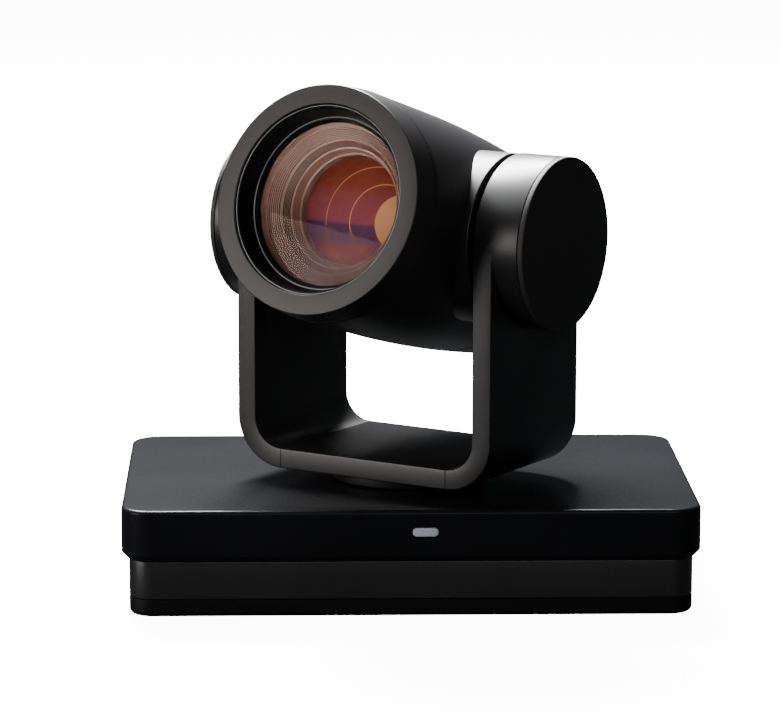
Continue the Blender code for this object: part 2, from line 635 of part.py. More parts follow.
def connectors():
    """The sockets at the back and the steel panel that they look through."""
    height = PANEL_TOP - FLOOR_TOP - CLEARANCE
    panel_place = (0.0, PANEL_BACK - PANEL_THICKNESS / 2, FLOOR_TOP + CLEARANCE)
    panel = piece(
        "connector_panel", block((PANEL_WIDTH, PANEL_THICKNESS, height)), SHELL_BLACK, None, panel_place
    )
    panel_front = PANEL_BACK - PANEL_THICKNESS

    def opening(width, tall, x, z):
        size = (width + 2 * CLEARANCE, tall + 2 * CLEARANCE, PANEL_THICKNESS + 2 * OVERCUT)
        cut(panel, centred_bar(*size), (x, panel_front - OVERCUT, z), ALONG_Y)

    for name, x, (width, tall, depth), mouth in SQUARE_SOCKETS:
        place = socket_place(x, tall)
        start = (x, place[1] - depth, place[2])
        socket = piece(name, centred_bar(width, tall, depth), STEEL, None, start, ALONG_Y)
        wide, high, deep = mouth
        cut(socket, centred_bar(wide, high, deep + OVERCUT), (x, place[1] - deep, place[2]), ALONG_Y)
        opening(width, tall, x, place[2])
    for name, x, (width, tall, depth), (radius, deep), pin in ROUND_SOCKETS:
        place = socket_place(x, tall)
        start = (x, place[1] - depth, place[2])
        socket = piece(name, centred_bar(width, tall, depth), PLASTIC, None, start, ALONG_Y)
        reach = 0.0
        if name == "video_connector":
            reach = VIDEO_BARREL_LENGTH
            barrel = cylinder(VIDEO_BARREL_RADIUS, reach + depth / 2)
            join(socket, barrel, (x, place[1] - depth / 2, place[2]), ALONG_Y)
        bottom = place[1] + reach - deep
        cut(socket, cylinder(radius, deep + OVERCUT), (x, bottom, place[2]), ALONG_Y)
        if pin:
            tip = cylinder(pin, deep, TINY_STEPS)
            join(socket, tip, (x, bottom - CLEARANCE, place[2]), ALONG_Y)
        opening(width, tall, x, place[2])
    opening(SWITCH_FRAME[0], SWITCH_FRAME[1], SWITCH_X, SWITCH_Z)


def power_switch():
    """A rocker that pivots on an upright pin in its frame, at rest with one end pressed."""
    width, tall, depth = SWITCH_FRAME
    start = (SWITCH_X, CONNECTOR_BACK - depth, SWITCH_Z)
    frame = piece("switch_frame", centred_bar(width, tall, depth), PLASTIC, None, start, ALONG_Y)
    inner_width, inner_tall = width - 2 * SWITCH_WALL, tall - 2 * SWITCH_WALL
    hollow = centred_bar(inner_width, inner_tall, depth)
    cut(frame, hollow, (SWITCH_X, CONNECTOR_BACK - depth + SWITCH_WALL, SWITCH_Z), ALONG_Y)
    place = (SWITCH_X, CONNECTOR_BACK - ROCKER_DEPTH / 2, SWITCH_Z)
    pivot = axis("rocker_axis", None, place, (0.0, 0.0, ROCKER_TILT))
    reach = inner_width / 2 - 2 * RUNNING_GAP
    outline = [
        (-reach, -ROCKER_DEPTH),
        (reach, -ROCKER_DEPTH),
        (reach, ROCKER_HEIGHT),
        (0.0, ROCKER_DIP),
        (-reach, ROCKER_HEIGHT),
    ]
    piece("switch_rocker", plate([outline], inner_tall - 2 * RUNNING_GAP), PLASTIC, pivot)


# --- Drives ---


def pulley(name, look, parent, groove, bore, belt_width, place, rotation=(0.0, 0.0, 0.0)):
    """A flanged belt pulley that stands on its origin."""
    height = belt_width + PULLEY_SIDES
    rim = groove + PULLEY_RIM
    profile = [
        (rim, height),
        (rim, height - PULLEY_CHEEK),
        (groove, height - PULLEY_CHEEK),
        (groove, PULLEY_CHEEK),
        (rim, PULLEY_CHEEK),
        (rim, 0.0),
        (bore, 0.0),
        (bore, height),
    ]
    piece(name, turned(profile, SMALL_STEPS, ring=True), look, parent, place, rotation)


def belt_outline(big, small, centres, steps=9):
    """The closed line round two circles, the big one at the origin and the small one along -X."""
    lean = math.degrees(math.acos((big - small) / centres))
    around_big = arc((0.0, 0.0), big, lean - 180, 180 - lean, 2 * steps)
    around_small = arc((-centres, 0.0), small, 180 - lean, 180 + lean, steps)
    return around_big + around_small


def belt(name, parent, big, small, centres, width, place, rotation=(0.0, 0.0, 0.0)):
    """A flat belt round two pulleys, which runs just clear of their grooves."""
    inside = belt_outline(big + CLEARANCE, small + CLEARANCE, centres)
    reach = CLEARANCE + BELT_THICKNESS
    outside = belt_outline(big + reach, small + reach, centres)
    piece(name, plate([outside, inside], width), RUBBER, parent, place, rotation)


def pan_drive():
    """The pedestal and bearing that carry the yoke, and the motor and belt that turn it."""
    flange_bottom = TRIPOD_PLATE_TOP + CLEARANCE
    flange_top = flange_bottom + PEDESTAL_WALL
    seat = PEDESTAL_TOP - BEARING_WIDTH - CLEARANCE
    seat_radius = BEARING_RADIUS + CLEARANCE
    throat = SPINDLE_RADIUS + 2 * RUNNING_GAP
    profile = [
        (PEDESTAL_TUBE, PEDESTAL_TOP),
        (PEDESTAL_TUBE, flange_top),
        (PEDESTAL_FLANGE, flange_top),
        (PEDESTAL_FLANGE, flange_bottom),
        (throat, flange_bottom),
        (throat, seat),
        (seat_radius, seat),
        (seat_radius, PEDESTAL_TOP),
    ]
    centre = (0.0, PAN_AXIS_Y, 0.0)
    piece("pan_pedestal", turned(profile, ring=True), ALUMINIUM, None, centre)
    race = tube(BEARING_RADIUS, SPINDLE_RADIUS + CLEARANCE, seat + CLEARANCE, PEDESTAL_TOP)
    piece("pan_bearing", race, STEEL, None, centre)

    bracket_top = PAN_PULLEY_BOTTOM - BRACKET_THICKNESS
    plate_bottom = bracket_top - BRACKET_THICKNESS
    foot_bottom = FLOOR_TOP + CLEARANCE
    x = -PAN_BELT_CENTRES
    bracket = piece(
        "pan_motor_bracket",
        block((BRACKET_OUTSIDE + 2 * BRACKET_FOOT, MOTOR_SIDE, bracket_top - foot_bottom)),
        STEEL,
        None,
        (x, PAN_AXIS_Y, foot_bottom),
    )
    cut(bracket, block((BRACKET_SPAN, MOTOR_SIDE + 2 * OVERCUT, plate_bottom)), (x, PAN_AXIS_Y, 0.0))
    for side in (-1, 1):
        offset = x + side * (BRACKET_OUTSIDE + OVERCUT) / 2
        beside = (OVERCUT, MOTOR_SIDE + 2 * OVERCUT, BASE_TOP)
        cut(bracket, block(beside), (offset, PAN_AXIS_Y, foot_bottom + BRACKET_THICKNESS))
    boss_hole = cylinder(MOTOR_BOSS_RADIUS + CLEARANCE, BASE_TOP)
    cut(bracket, boss_hole, (x, PAN_AXIS_Y, plate_bottom - OVERCUT))

    motor_top = plate_bottom - CLEARANCE
    place = (x, PAN_AXIS_Y, motor_top - MOTOR_LENGTH)
    body = block((MOTOR_SIDE, MOTOR_SIDE, MOTOR_LENGTH), BRACKET_THICKNESS, steps=2)
    motor = piece("pan_motor", body, STEEL, None, place)
    sunk = motor_top - BRACKET_THICKNESS
    join(motor, cylinder(MOTOR_BOSS_RADIUS, 2 * BRACKET_THICKNESS), (x, PAN_AXIS_Y, sunk))
    pulley_top = PAN_PULLEY_BOTTOM + PAN_BELT_WIDTH + PULLEY_SIDES
    join(motor, cylinder(MOTOR_SHAFT_RADIUS, pulley_top - sunk), (x, PAN_AXIS_Y, sunk))
    pulley(
        "pan_motor_pulley",
        ALUMINIUM,
        None,
        PAN_MOTOR_PULLEY_RADIUS,
        MOTOR_SHAFT_RADIUS + CLEARANCE,
        PAN_BELT_WIDTH,
        (x, PAN_AXIS_Y, PAN_PULLEY_BOTTOM),
    )
    belt_z = PAN_PULLEY_BOTTOM + PULLEY_CHEEK + CLEARANCE + PAN_BELT_WIDTH / 2
    belt(
        "pan_belt",
        None,
        PAN_PULLEY_RADIUS,
        PAN_MOTOR_PULLEY_RADIUS,
        PAN_BELT_CENTRES,
        PAN_BELT_WIDTH,
        (0.0, PAN_AXIS_Y, belt_z),
    )


# --- Yoke ---


def turntable(pan):
    """The disc under the yoke and its hollow spindle, with the pulley that the belt turns."""
    top = YOKE_BOTTOM - CLEARANCE
    bottom = BASE_TOP + RUNNING_GAP
    spindle_end = top - SPINDLE_LENGTH
    profile = [
        (TURNTABLE_RADIUS, top),
        (TURNTABLE_RADIUS, bottom),
        (SPINDLE_RADIUS, bottom),
        (SPINDLE_RADIUS, spindle_end),
        (SPINDLE_BORE, spindle_end),
        (SPINDLE_BORE, top),
    ]
    piece("pan_turntable", turned(profile, ROUND_STEPS, ring=True), ALUMINIUM, pan)
    bore = SPINDLE_RADIUS + CLEARANCE
    place = (0.0, 0.0, PAN_PULLEY_BOTTOM)
    pulley("pan_pulley", ALUMINIUM, pan, PAN_PULLEY_RADIUS, bore, PAN_BELT_WIDTH, place)


def yoke_bridge(pan):
    """The flat middle of the U, on the turntable, with the cable hole."""
    size = (2 * BRIDGE_HALF - CLEARANCE, 2 * DRUM_RADIUS, BRIDGE_THICKNESS)
    bridge = piece("yoke_bridge", block(size), SHELL_BLACK, pan, (0.0, 0.0, YOKE_BOTTOM))
    cable_hole = cylinder(SPINDLE_BORE, BRIDGE_THICKNESS / 2 + OVERCUT)
    cut(bridge, cable_hole, (0.0, 0.0, YOKE_BOTTOM - OVERCUT))


def yoke_arm(pan, name, side):
    """One side of the U: its corner, its upright arm and the drum at the top, hollow outwards."""
    seam = BRIDGE_HALF + CLEARANCE / 2
    top = TILT_AXIS_Z - CLEARANCE
    inner_corner = ARM_INNER - seam
    outer = arc((BRIDGE_HALF, YOKE_BOTTOM + YOKE_CORNER), YOKE_CORNER, -89, 0, 10)
    inner = arc((seam, BRIDGE_TOP + inner_corner), inner_corner, 0, -90, 10)
    outline = [(seam, YOKE_BOTTOM), *outer, (YOKE_HALF_WIDTH, top), (ARM_INNER, top), *inner]
    outline = [(side * x, z) for x, z in outline]
    name = f"yoke_arm_{name}"
    arm = piece(name, plate([outline], 2 * DRUM_RADIUS), SHELL_BLACK, pan, rotation=UPRIGHT)
    outwards = (0.0, side * math.pi / 2, 0.0)
    drum = cylinder(DRUM_RADIUS, DRUM_RIM - ARM_INNER, ROUND_STEPS)
    join(arm, drum, (side * ARM_INNER, 0.0, TILT_AXIS_Z), outwards)
    hollow = cylinder(DRUM_BORE, DRUM_RIM - DRUM_FLOOR + OVERCUT, ROUND_STEPS)
    cut(arm, hollow, (side * DRUM_FLOOR, 0.0, TILT_AXIS_Z), outwards)
    seat = cylinder(TILT_BEARING_RADIUS + CLEARANCE, DRUM_BACK + 2 * OVERCUT)
    cut(arm, seat, (side * (ARM_INNER - OVERCUT), 0.0, TILT_AXIS_Z), outwards)


def drum_cap(pan, name, side):
    """The flat cap of a drum, with a ring that centres it in the drum's hollow."""
    bottom = DRUM_RIM + CLEARANCE
    spigot = DRUM_BORE - CLEARANCE
    profile = [
        (0.0, DRUM_REACH),
        (DRUM_RADIUS - CAP_EDGE, DRUM_REACH),
        (DRUM_RADIUS, DRUM_REACH - CAP_EDGE),
        (DRUM_RADIUS, bottom),
        (spigot, bottom),
        (spigot, bottom - CAP_SPIGOT),
        (spigot - DRUM_WALL, bottom - CAP_SPIGOT),
        (spigot - DRUM_WALL, bottom),
        (0.0, bottom),
    ]
    outwards = (0.0, side * math.pi / 2, 0.0)
    shape = turned(profile, ROUND_STEPS)
    piece(f"drum_cap_{name}", shape, SHELL_BLACK, pan, (0.0, 0.0, TILT_AXIS_Z), outwards)


def tilt_bearing(pan, name, side):
    """The ball bearing that a tilt shaft turns in, drawn as one ring."""
    inner = SHAFT_RADIUS + CLEARANCE
    shape = tube(TILT_BEARING_RADIUS, inner, ARM_INNER + CLEARANCE, DRUM_FLOOR - CLEARANCE)
    outwards = (0.0, side * math.pi / 2, 0.0)
    piece(f"tilt_bearing_{name}", shape, STEEL, pan, (0.0, 0.0, TILT_AXIS_Z), outwards)


def tilt_drive(pan, tilt):
    """The flat motor in the right drum and the belt to the pulley on the tilt shaft."""
    motor_z = TILT_AXIS_Z - TILT_BELT_CENTRES
    start = DRUM_FLOOR + CLEARANCE
    body = cylinder(TILT_MOTOR_RADIUS, TILT_MOTOR_LENGTH)
    motor = piece("tilt_motor", body, STEEL, pan, (start, 0.0, motor_z), ALONG_X)
    height = TILT_BELT_WIDTH + PULLEY_SIDES
    length = TILT_PULLEY_INNER + height - start - TILT_MOTOR_LENGTH / 2
    shaft = cylinder(TILT_MOTOR_SHAFT_RADIUS, length, TINY_STEPS)
    join(motor, shaft, (start + TILT_MOTOR_LENGTH / 2, 0.0, motor_z), ALONG_X)
    pulley(
        "tilt_motor_pulley",
        ALUMINIUM,
        pan,
        TILT_MOTOR_PULLEY_RADIUS,
        TILT_MOTOR_SHAFT_RADIUS + CLEARANCE,
        TILT_BELT_WIDTH,
        (TILT_PULLEY_INNER, 0.0, motor_z),
        ALONG_X,
    )
    pulley(
        "tilt_pulley",
        ALUMINIUM,
        tilt,
        TILT_PULLEY_RADIUS,
        SHAFT_RADIUS + CLEARANCE,
        TILT_BELT_WIDTH,
        (TILT_PULLEY_INNER, 0.0, 0.0),
        ALONG_X,
    )
    belt(
        "tilt_belt",
        pan,
        TILT_PULLEY_RADIUS,
        TILT_MOTOR_PULLEY_RADIUS,
        TILT_BELT_CENTRES,
        TILT_BELT_WIDTH,
        (TILT_PULLEY_INNER + height / 2, 0.0, TILT_AXIS_Z),
        (0.0, -math.pi / 2, 0.0),
    )
    turned_left = (0.0, -math.pi / 2, 0.0)
    place = (-(DRUM_FLOOR + CLEARANCE), 0.0, TILT_AXIS_Z - DRUM_BORE + SENSOR_INSET)
    piece("tilt_sensor_board", block(SENSOR_BOARD), BOARD_GREEN, pan, place, turned_left)


def tilt_shaft(tilt, name, side):
    """A hollow shaft with the wide flange that shows in the gap between a hub and its arm."""
    end = TILT_PULLEY_INNER + TILT_BELT_WIDTH + PULLEY_SIDES
    inner_end = HUB_REACH - HEAD_WALL - SHAFT_SPIGOT / 2
    profile = [
        (SHAFT_RADIUS, end),
        (SHAFT_RADIUS, FLANGE_OUTER),
        (SHAFT_FLANGE, FLANGE_OUTER),
        (SHAFT_FLANGE, FLANGE_INNER),
        (SHAFT_SPIGOT, FLANGE_INNER),
        (SHAFT_SPIGOT, inner_end),
        (SHAFT_BORE, inner_end),
        (SHAFT_BORE, end),
    ]
    outwards = (0.0, side * math.pi / 2, 0.0)
    shape = turned(profile, ring=True)
    piece(f"tilt_shaft_{name}", shape, ALUMINIUM, tilt, (0.0, 0.0, 0.0), outwards)


# --- Head ---


def head_radius(ahead):
    """The head's radius at this distance ahead of the tilt axis: it narrows towards the back."""
    return HEAD_RADIUS - TAPER_RATE * max(0.0, TAPER_START - ahead) ** 2


def head_side(start, end, steps, wall=0.0):
    """Profile points down the side of the head, moved in by the wall."""
    heights = [start + (end - start) * i / steps for i in range(steps + 1)]
    return [(head_radius(height) - wall, height) for height in heights]


def head_shell(lens):
    """The middle of the head, a wide tube with a round hub on each side for the tilt shafts."""
    start, end = HOOD_SEAM - CLEARANCE, REAR_SEAM + CLEARANCE
    outside = [(0.0, start), *head_side(start, end, 5), (0.0, end)]
    shell = piece("head_shell", turned(outside, ROUND_STEPS), SHELL_BLACK, lens)
    inside = head_side(start + OVERCUT, end - OVERCUT, 3, HEAD_WALL)
    inside = [(0.0, start + OVERCUT), *inside, (0.0, end - OVERCUT)]
    hub_hollow = HUB_REACH - HEAD_WALL
    shaft_hole = HUB_REACH + OVERCUT
    join(shell, cylinder(HUB_RADIUS, 2 * HUB_REACH, ROUND_STEPS), (-HUB_REACH, 0.0, 0.0), ALONG_X)
    cut(shell, turned(inside, ROUND_STEPS))
    hollow = cylinder(HUB_RADIUS - HEAD_WALL, 2 * hub_hollow, ROUND_STEPS)
    cut(shell, hollow, (-hub_hollow, 0.0, 0.0), ALONG_X)
    hole = cylinder(SHAFT_SPIGOT + CLEARANCE, 2 * shaft_hole)
    cut(shell, hole, (-shaft_hole, 0.0, 0.0), ALONG_X)


def head_rear_cover(lens):
    """The round back of the head, a cup with a rounded edge."""
    turn = REAR_END + REAR_EDGE
    edge = arc((head_radius(turn) - REAR_EDGE, turn), REAR_EDGE, 0, -90, 4)
    inner_edge = arc((head_radius(turn) - REAR_EDGE, turn), REAR_EDGE - HEAD_WALL, -90, 0, 2)
    profile = [
        (0.0, REAR_END + HEAD_WALL),
        *inner_edge,
        *head_side(turn + CLEARANCE, REAR_SEAM, 1, HEAD_WALL),
        *head_side(REAR_SEAM, turn + CLEARANCE, 2),
        *edge,
        (0.0, REAR_END),
    ]
    piece("head_rear_cover", turned(profile, ROUND_STEPS), SHELL_BLACK, lens)


def hood(lens):
    """The front ring with the flat face, and the black funnel inside it down to the glass."""
    profile = [
        (RING_BORE, RING_FACE),
        (RING_RADIUS - RING_EDGE, RING_FACE),
        (RING_RADIUS, RING_FACE - RING_EDGE),
        (head_radius(HOOD_SEAM), HOOD_SEAM),
        (RING_BORE, HOOD_SEAM),
    ]
    piece("lens_hood", turned(profile, ROUND_STEPS, ring=True), FACE_GREY, lens)
    outer = RING_BORE - CLEARANCE
    profile = [
        (outer, RING_FACE - BEZEL_STEP),
        (outer, BEZEL_BACK),
        (BEZEL_THROAT, BEZEL_BACK),
        (BEZEL_THROAT, BEZEL_THROAT_FACE),
        (BEZEL_MOUTH, RING_FACE - BEZEL_STEP),
    ]
    piece("lens_bezel", turned(profile, ROUND_STEPS, ring=True), PLASTIC, lens)


def lens_front(lens):
    """The front glass and the ring that holds it in the barrel."""
    sphere = (RETAINER_BORE**2 + GLASS_BULGE**2) / (2 * GLASS_BULGE)
    spread = math.degrees(math.asin(RETAINER_BORE / sphere))
    centre = (0.0, GLASS_RIM + GLASS_BULGE - sphere)
    dome = arc(centre, sphere, 90, 90 - spread, 3)
    profile = [
        (0.0, dome[0][1]),
        *dome[1:],
        (GLASS_RADIUS, GLASS_RIM),
        (GLASS_RADIUS, GLASS_RIM - GLASS_THICKNESS),
        (0.0, GLASS_RIM - GLASS_THICKNESS),
    ]
    piece("front_glass", turned(profile, ROUND_STEPS), LENS_GLASS, lens)
    bottom = GLASS_RIM + CLEARANCE
    top = bottom + RETAINER_THICKNESS
    ring = tube(BEZEL_THROAT - CLEARANCE, RETAINER_BORE, bottom, top, ROUND_STEPS)
    piece("lens_retaining_ring", ring, PLASTIC, lens)


def lens_barrel(lens):
    """The stepped tube of the zoom lens: a seat for the glass, the baffle and a narrow back."""
    seat = GLASS_RIM - GLASS_THICKNESS - CLEARANCE
    baffle = seat - BAFFLE_DEPTH
    profile = [
        (BARREL_FRONT_RADIUS, BEZEL_BACK - CLEARANCE),
        (BARREL_FRONT_RADIUS, BARREL_STEP),
        (BARREL_REAR_RADIUS, BARREL_STEP),
        (BARREL_REAR_RADIUS, BARREL_END),
        (BARREL_REAR_BORE, BARREL_END),
        (BARREL_REAR_BORE, BARREL_STEP + BARREL_WALL),
        (BARREL_FRONT_BORE, BARREL_STEP + BARREL_WALL),
        (BARREL_FRONT_BORE, baffle - BAFFLE_LIP),
        (BAFFLE_BORE, baffle - BAFFLE_LIP),
        (BAFFLE_BORE, baffle),
        (BARREL_FRONT_BORE, seat),
        (GLASS_RADIUS + CLEARANCE, seat),
        (GLASS_RADIUS + CLEARANCE, BEZEL_BACK - CLEARANCE),
    ]
    piece("lens_barrel", turned(profile, ROUND_STEPS, ring=True), PLASTIC, lens)
    iris_radius = BARREL_REAR_BORE - CLEARANCE
    iris = tube(iris_radius, IRIS_APERTURE, IRIS_FRONT - IRIS_THICKNESS, IRIS_FRONT)
    piece("iris_unit", iris, PLASTIC, lens)


def lens_cell(name, lens, front, length):
    """A lens in its ring, which slides in the back of the barrel."""
    radius = BARREL_REAR_BORE - RUNNING_GAP
    back = front - length
    shoulder = CELL_LENS_RADIUS + CELL_LENS_BULGE
    profile = [
        (0.0, front - CELL_LENS_BULGE),
        (CELL_LENS_RADIUS, front - 2 * CELL_LENS_BULGE),
        (shoulder, front),
        (radius, front),
        (radius, back),
        (0.0, back),
    ]
    piece(name, turned(profile), LENS_GLASS, lens)


def lens_motors(lens):
    """The zoom and focus motors, beside the narrow back of the barrel, with their lead screws."""
    place = BARREL_REAR_RADIUS + CLEARANCE + LENS_MOTOR_RADIUS
    for name, side in (("zoom_motor", 1), ("focus_motor", -1)):
        start = (0.0, side * place, BARREL_END)
        motor = piece(name, cylinder(LENS_MOTOR_RADIUS, LENS_MOTOR_LENGTH), STEEL, lens, start)
        lead_screw = cylinder(LEAD_SCREW_RADIUS, LEAD_SCREW_LENGTH, TINY_STEPS)
        join(motor, lead_screw, (0.0, side * place, BARREL_END + LENS_MOTOR_LENGTH / 2))


def head_boards(lens):
    """The image sensor's board behind the barrel, and the processor's board behind that."""
    boards = (
        ("image_sensor_board", IMAGE_BOARD, IMAGE_CHIP, BARREL_END - CLEARANCE - IMAGE_BOARD[2]),
        ("processor_board", PROCESSOR_BOARD, PROCESSOR_CHIP, BARREL_END - BOARD_PITCH),
    )
    for name, size, chip, height in boards:
        board = piece(name, block(size), BOARD_GREEN, lens, (0.0, 0.0, height - size[2]))
        join(board, block(chip), (0.0, 0.0, height - size[2] / 2))


# --- Assembly ---

base_top_cover()
base_band()
base_tray()
base_small_pieces()
base_boards()
connectors()
power_switch()
pan_drive()

pan_axis = axis("pan_axis", None, (0.0, PAN_AXIS_Y, 0.0), (0.0, 0.0, PAN_REST))
tilt_axis = axis("tilt_axis", pan_axis, (0.0, 0.0, TILT_AXIS_Z), (-TILT_REST, 0.0, 0.0))
lens_axis = axis("lens_axis", tilt_axis, (0.0, 0.0, 0.0), UPRIGHT)

turntable(pan_axis)
yoke_bridge(pan_axis)
for side_name, side_sign in MIRROR_SIDES:
    yoke_arm(pan_axis, side_name, side_sign)
    drum_cap(pan_axis, side_name, side_sign)
    tilt_bearing(pan_axis, side_name, side_sign)
    tilt_shaft(tilt_axis, side_name, side_sign)
tilt_drive(pan_axis, tilt_axis)

head_shell(lens_axis)
head_rear_cover(lens_axis)
hood(lens_axis)
lens_front(lens_axis)
lens_barrel(lens_axis)
lens_cell("zoom_group", lens_axis, ZOOM_CELL_FRONT, ZOOM_CELL_LENGTH)
lens_cell("focus_group", lens_axis, FOCUS_CELL_FRONT, FOCUS_CELL_LENGTH)
lens_motors(lens_axis)
head_boards(lens_axis)
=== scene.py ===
import json
import math

import bmesh
import bpy
import numpy as np
from mathutils import Matrix


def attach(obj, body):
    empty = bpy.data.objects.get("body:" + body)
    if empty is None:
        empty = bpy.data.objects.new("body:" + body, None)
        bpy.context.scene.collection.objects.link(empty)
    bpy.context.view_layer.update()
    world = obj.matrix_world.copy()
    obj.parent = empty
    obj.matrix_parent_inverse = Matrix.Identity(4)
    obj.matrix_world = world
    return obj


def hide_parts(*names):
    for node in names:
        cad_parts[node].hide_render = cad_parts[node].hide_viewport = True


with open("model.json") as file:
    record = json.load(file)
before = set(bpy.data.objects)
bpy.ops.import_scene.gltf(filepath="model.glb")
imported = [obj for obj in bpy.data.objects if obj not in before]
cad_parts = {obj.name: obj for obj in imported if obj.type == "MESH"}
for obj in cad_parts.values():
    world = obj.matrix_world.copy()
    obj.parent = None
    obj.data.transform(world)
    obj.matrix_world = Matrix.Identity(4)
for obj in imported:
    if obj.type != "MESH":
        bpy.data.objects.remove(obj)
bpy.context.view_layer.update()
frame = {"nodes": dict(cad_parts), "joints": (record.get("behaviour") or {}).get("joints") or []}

# A desk-top pan-tilt-zoom camera, made piece by piece in the order in which it is put together: the
# base from the desk upwards, the connectors, the yoke, and the tilting head with its zoom lens.
# Metres. Three places carry the pieces: the base, the yoke on the pan axis, and the head on the tilt axis.
# The base is the world's own place; the yoke and the head come from the imported joints.

JOINTS = {joint["name"]: joint for joint in frame["joints"]}
ACROSS = -np.array(JOINTS["tilt"]["axis"])
AHEAD = np.array(JOINTS["zoom"]["axis"])
UPWARDS = np.array([0.0, 0.0, 1.0])


def place_of(x_axis, z_axis, origin):
    """A 4 x 4 place: its X and Z axes as given, Y square to both, and its origin."""
    place = np.eye(4)
    place[:3, 0] = x_axis / np.linalg.norm(x_axis)
    place[:3, 2] = z_axis / np.linalg.norm(z_axis)
    place[:3, 1] = np.cross(place[:3, 2], place[:3, 0])
    place[:3, 3] = origin
    return place


BASE = np.eye(4)
YOKE = place_of(ACROSS, UPWARDS, [*JOINTS["pan"]["pos_m"][:2], 0.0])
HEAD = place_of(ACROSS, AHEAD, JOINTS["tilt"]["pos_m"])


def local_box(node, place=BASE):
    """A CAD node's lowest and highest corners along a place's own axes."""
    mesh = frame["nodes"][node].data
    corners = np.empty(len(mesh.vertices) * 3, np.float32)
    mesh.vertices.foreach_get("co", corners)
    local = (corners.reshape(-1, 3) - place[:3, 3]) @ place[:3, :3]
    return local.min(0).astype(float), local.max(0).astype(float)


# --- Base tray ---
# A moulded black tray that closes the base from below. It carries the posts for the cover's screws and
# has round seats for the feet and a hole for the tripod plate.

TRAY_LOW, TRAY_HIGH = local_box("base_tray")
BAND_LOW, BAND_HIGH = local_box("base_band")
COVER_HIGH = local_box("base_top_cover")[1]
TRAY_CORNER = 0.0093
TRAY_EDGE = 0.0022
TRAY_WALL = 0.0025
TRAY_FLOOR = 0.0020
FINE_EDGE = 0.0003
TRAY_TOP = BAND_LOW[2] - 0.0003
PAN_X, PAN_Y = YOKE[:2, 3]
PLATE_LOW, PLATE_HIGH = local_box("tripod_plate")
PLATE_RADIUS = (PLATE_HIGH[0] - PLATE_LOW[0]) / 2
PLATE_STEP = 0.0030
SEAT_GAP = 0.0003


def rounded(corners, steps=4, closed=True):
    """A line through (x, y, radius) corners, each turned by an exact arc of its radius.

    The arc is the rational quadratic curve whose middle weight is the cosine of half the turn.
    """
    corners = np.array(corners, float)
    points, radii = corners[:, :2], corners[:, 2]
    line = []
    for i, (here, radius) in enumerate(zip(points, radii)):
        before, after = points[i - 1], points[(i + 1) % len(points)]
        if radius <= 0 or (not closed and i in (0, len(points) - 1)):
            line.append(here[None])
            continue
        back = (before - here) / np.linalg.norm(before - here)
        on = (after - here) / np.linalg.norm(after - here)
        half = (math.pi - math.acos(np.clip(back @ on, -1, 1))) / 2
        reach = radius * math.tan(half)
        s = np.linspace(0, 1, steps + 1)[:, None]
        parts = (1 - s) ** 2, 2 * s * (1 - s) * math.cos(half), s**2
        ends = here + back * reach, here, here + on * reach
        line.append(sum(p * e for p, e in zip(parts, ends)) / sum(parts))
    return np.concatenate(line)


def sheet_mesh(name, grid, around=True, along=False, place=BASE, crease=32):
    """A mesh from a grid of points: rows go along the shape, columns go around it.

    Seams and poles are welded, faces turned outwards, and edges sharper than the crease kept sharp.
    """
    rows, columns = grid.shape[:2]
    index = np.arange(rows * columns).reshape(rows, columns)
    here = index if along else index[:-1]
    ahead = np.roll(index, -1, 0) if along else index[1:]
    if not around:
        here, ahead = (here[:, :-1], here[:, 1:]), (ahead[:, :-1], ahead[:, 1:])
    else:
        here, ahead = (here, np.roll(here, -1, 1)), (ahead, np.roll(ahead, -1, 1))
    quads = np.stack([here[0], here[1], ahead[1], ahead[0]], -1).reshape(-1, 4)
    points = grid.reshape(-1, 3) @ place[:3, :3].T + place[:3, 3]
    mesh = bpy.data.meshes.new(name)
    mesh.vertices.add(len(points))
    mesh.vertices.foreach_set("co", points.astype(np.float32).ravel())
    mesh.loops.add(quads.size)
    mesh.loops.foreach_set("vertex_index", quads.astype(np.int32).ravel())
    mesh.polygons.add(len(quads))
    mesh.polygons.foreach_set("loop_start", np.arange(0, quads.size, 4, dtype=np.int32))
    mesh.update(calc_edges=True)
    bm = bmesh.new()
    bm.from_mesh(mesh)
    bmesh.ops.remove_doubles(bm, verts=bm.verts, dist=1e-7)
    bmesh.ops.recalc_face_normals(bm, faces=bm.faces)
    bm.to_mesh(mesh)
    bm.free()
    mesh.shade_smooth()
    mesh.set_sharp_from_angle(angle=math.radians(crease))
    return mesh


def turned(name, line, steps=96, closed=True, place=BASE, centre=(0.0, 0.0), crease=32):
    """A line of (radius, height) turned about a place's Z axis: x = r cos t, y = r sin t, z = h."""
    angle = np.linspace(0, 2 * math.pi, steps, endpoint=False)
    radius, height = np.asarray(line)[:, 0, None], np.asarray(line)[:, 1, None]
    grid = np.stack(
        [
            centre[0] + radius * np.cos(angle),
            centre[1] + radius * np.sin(angle),
            height + 0 * angle,
        ],
        -1,
    )
    return sheet_mesh(name, grid, True, closed, place, crease)


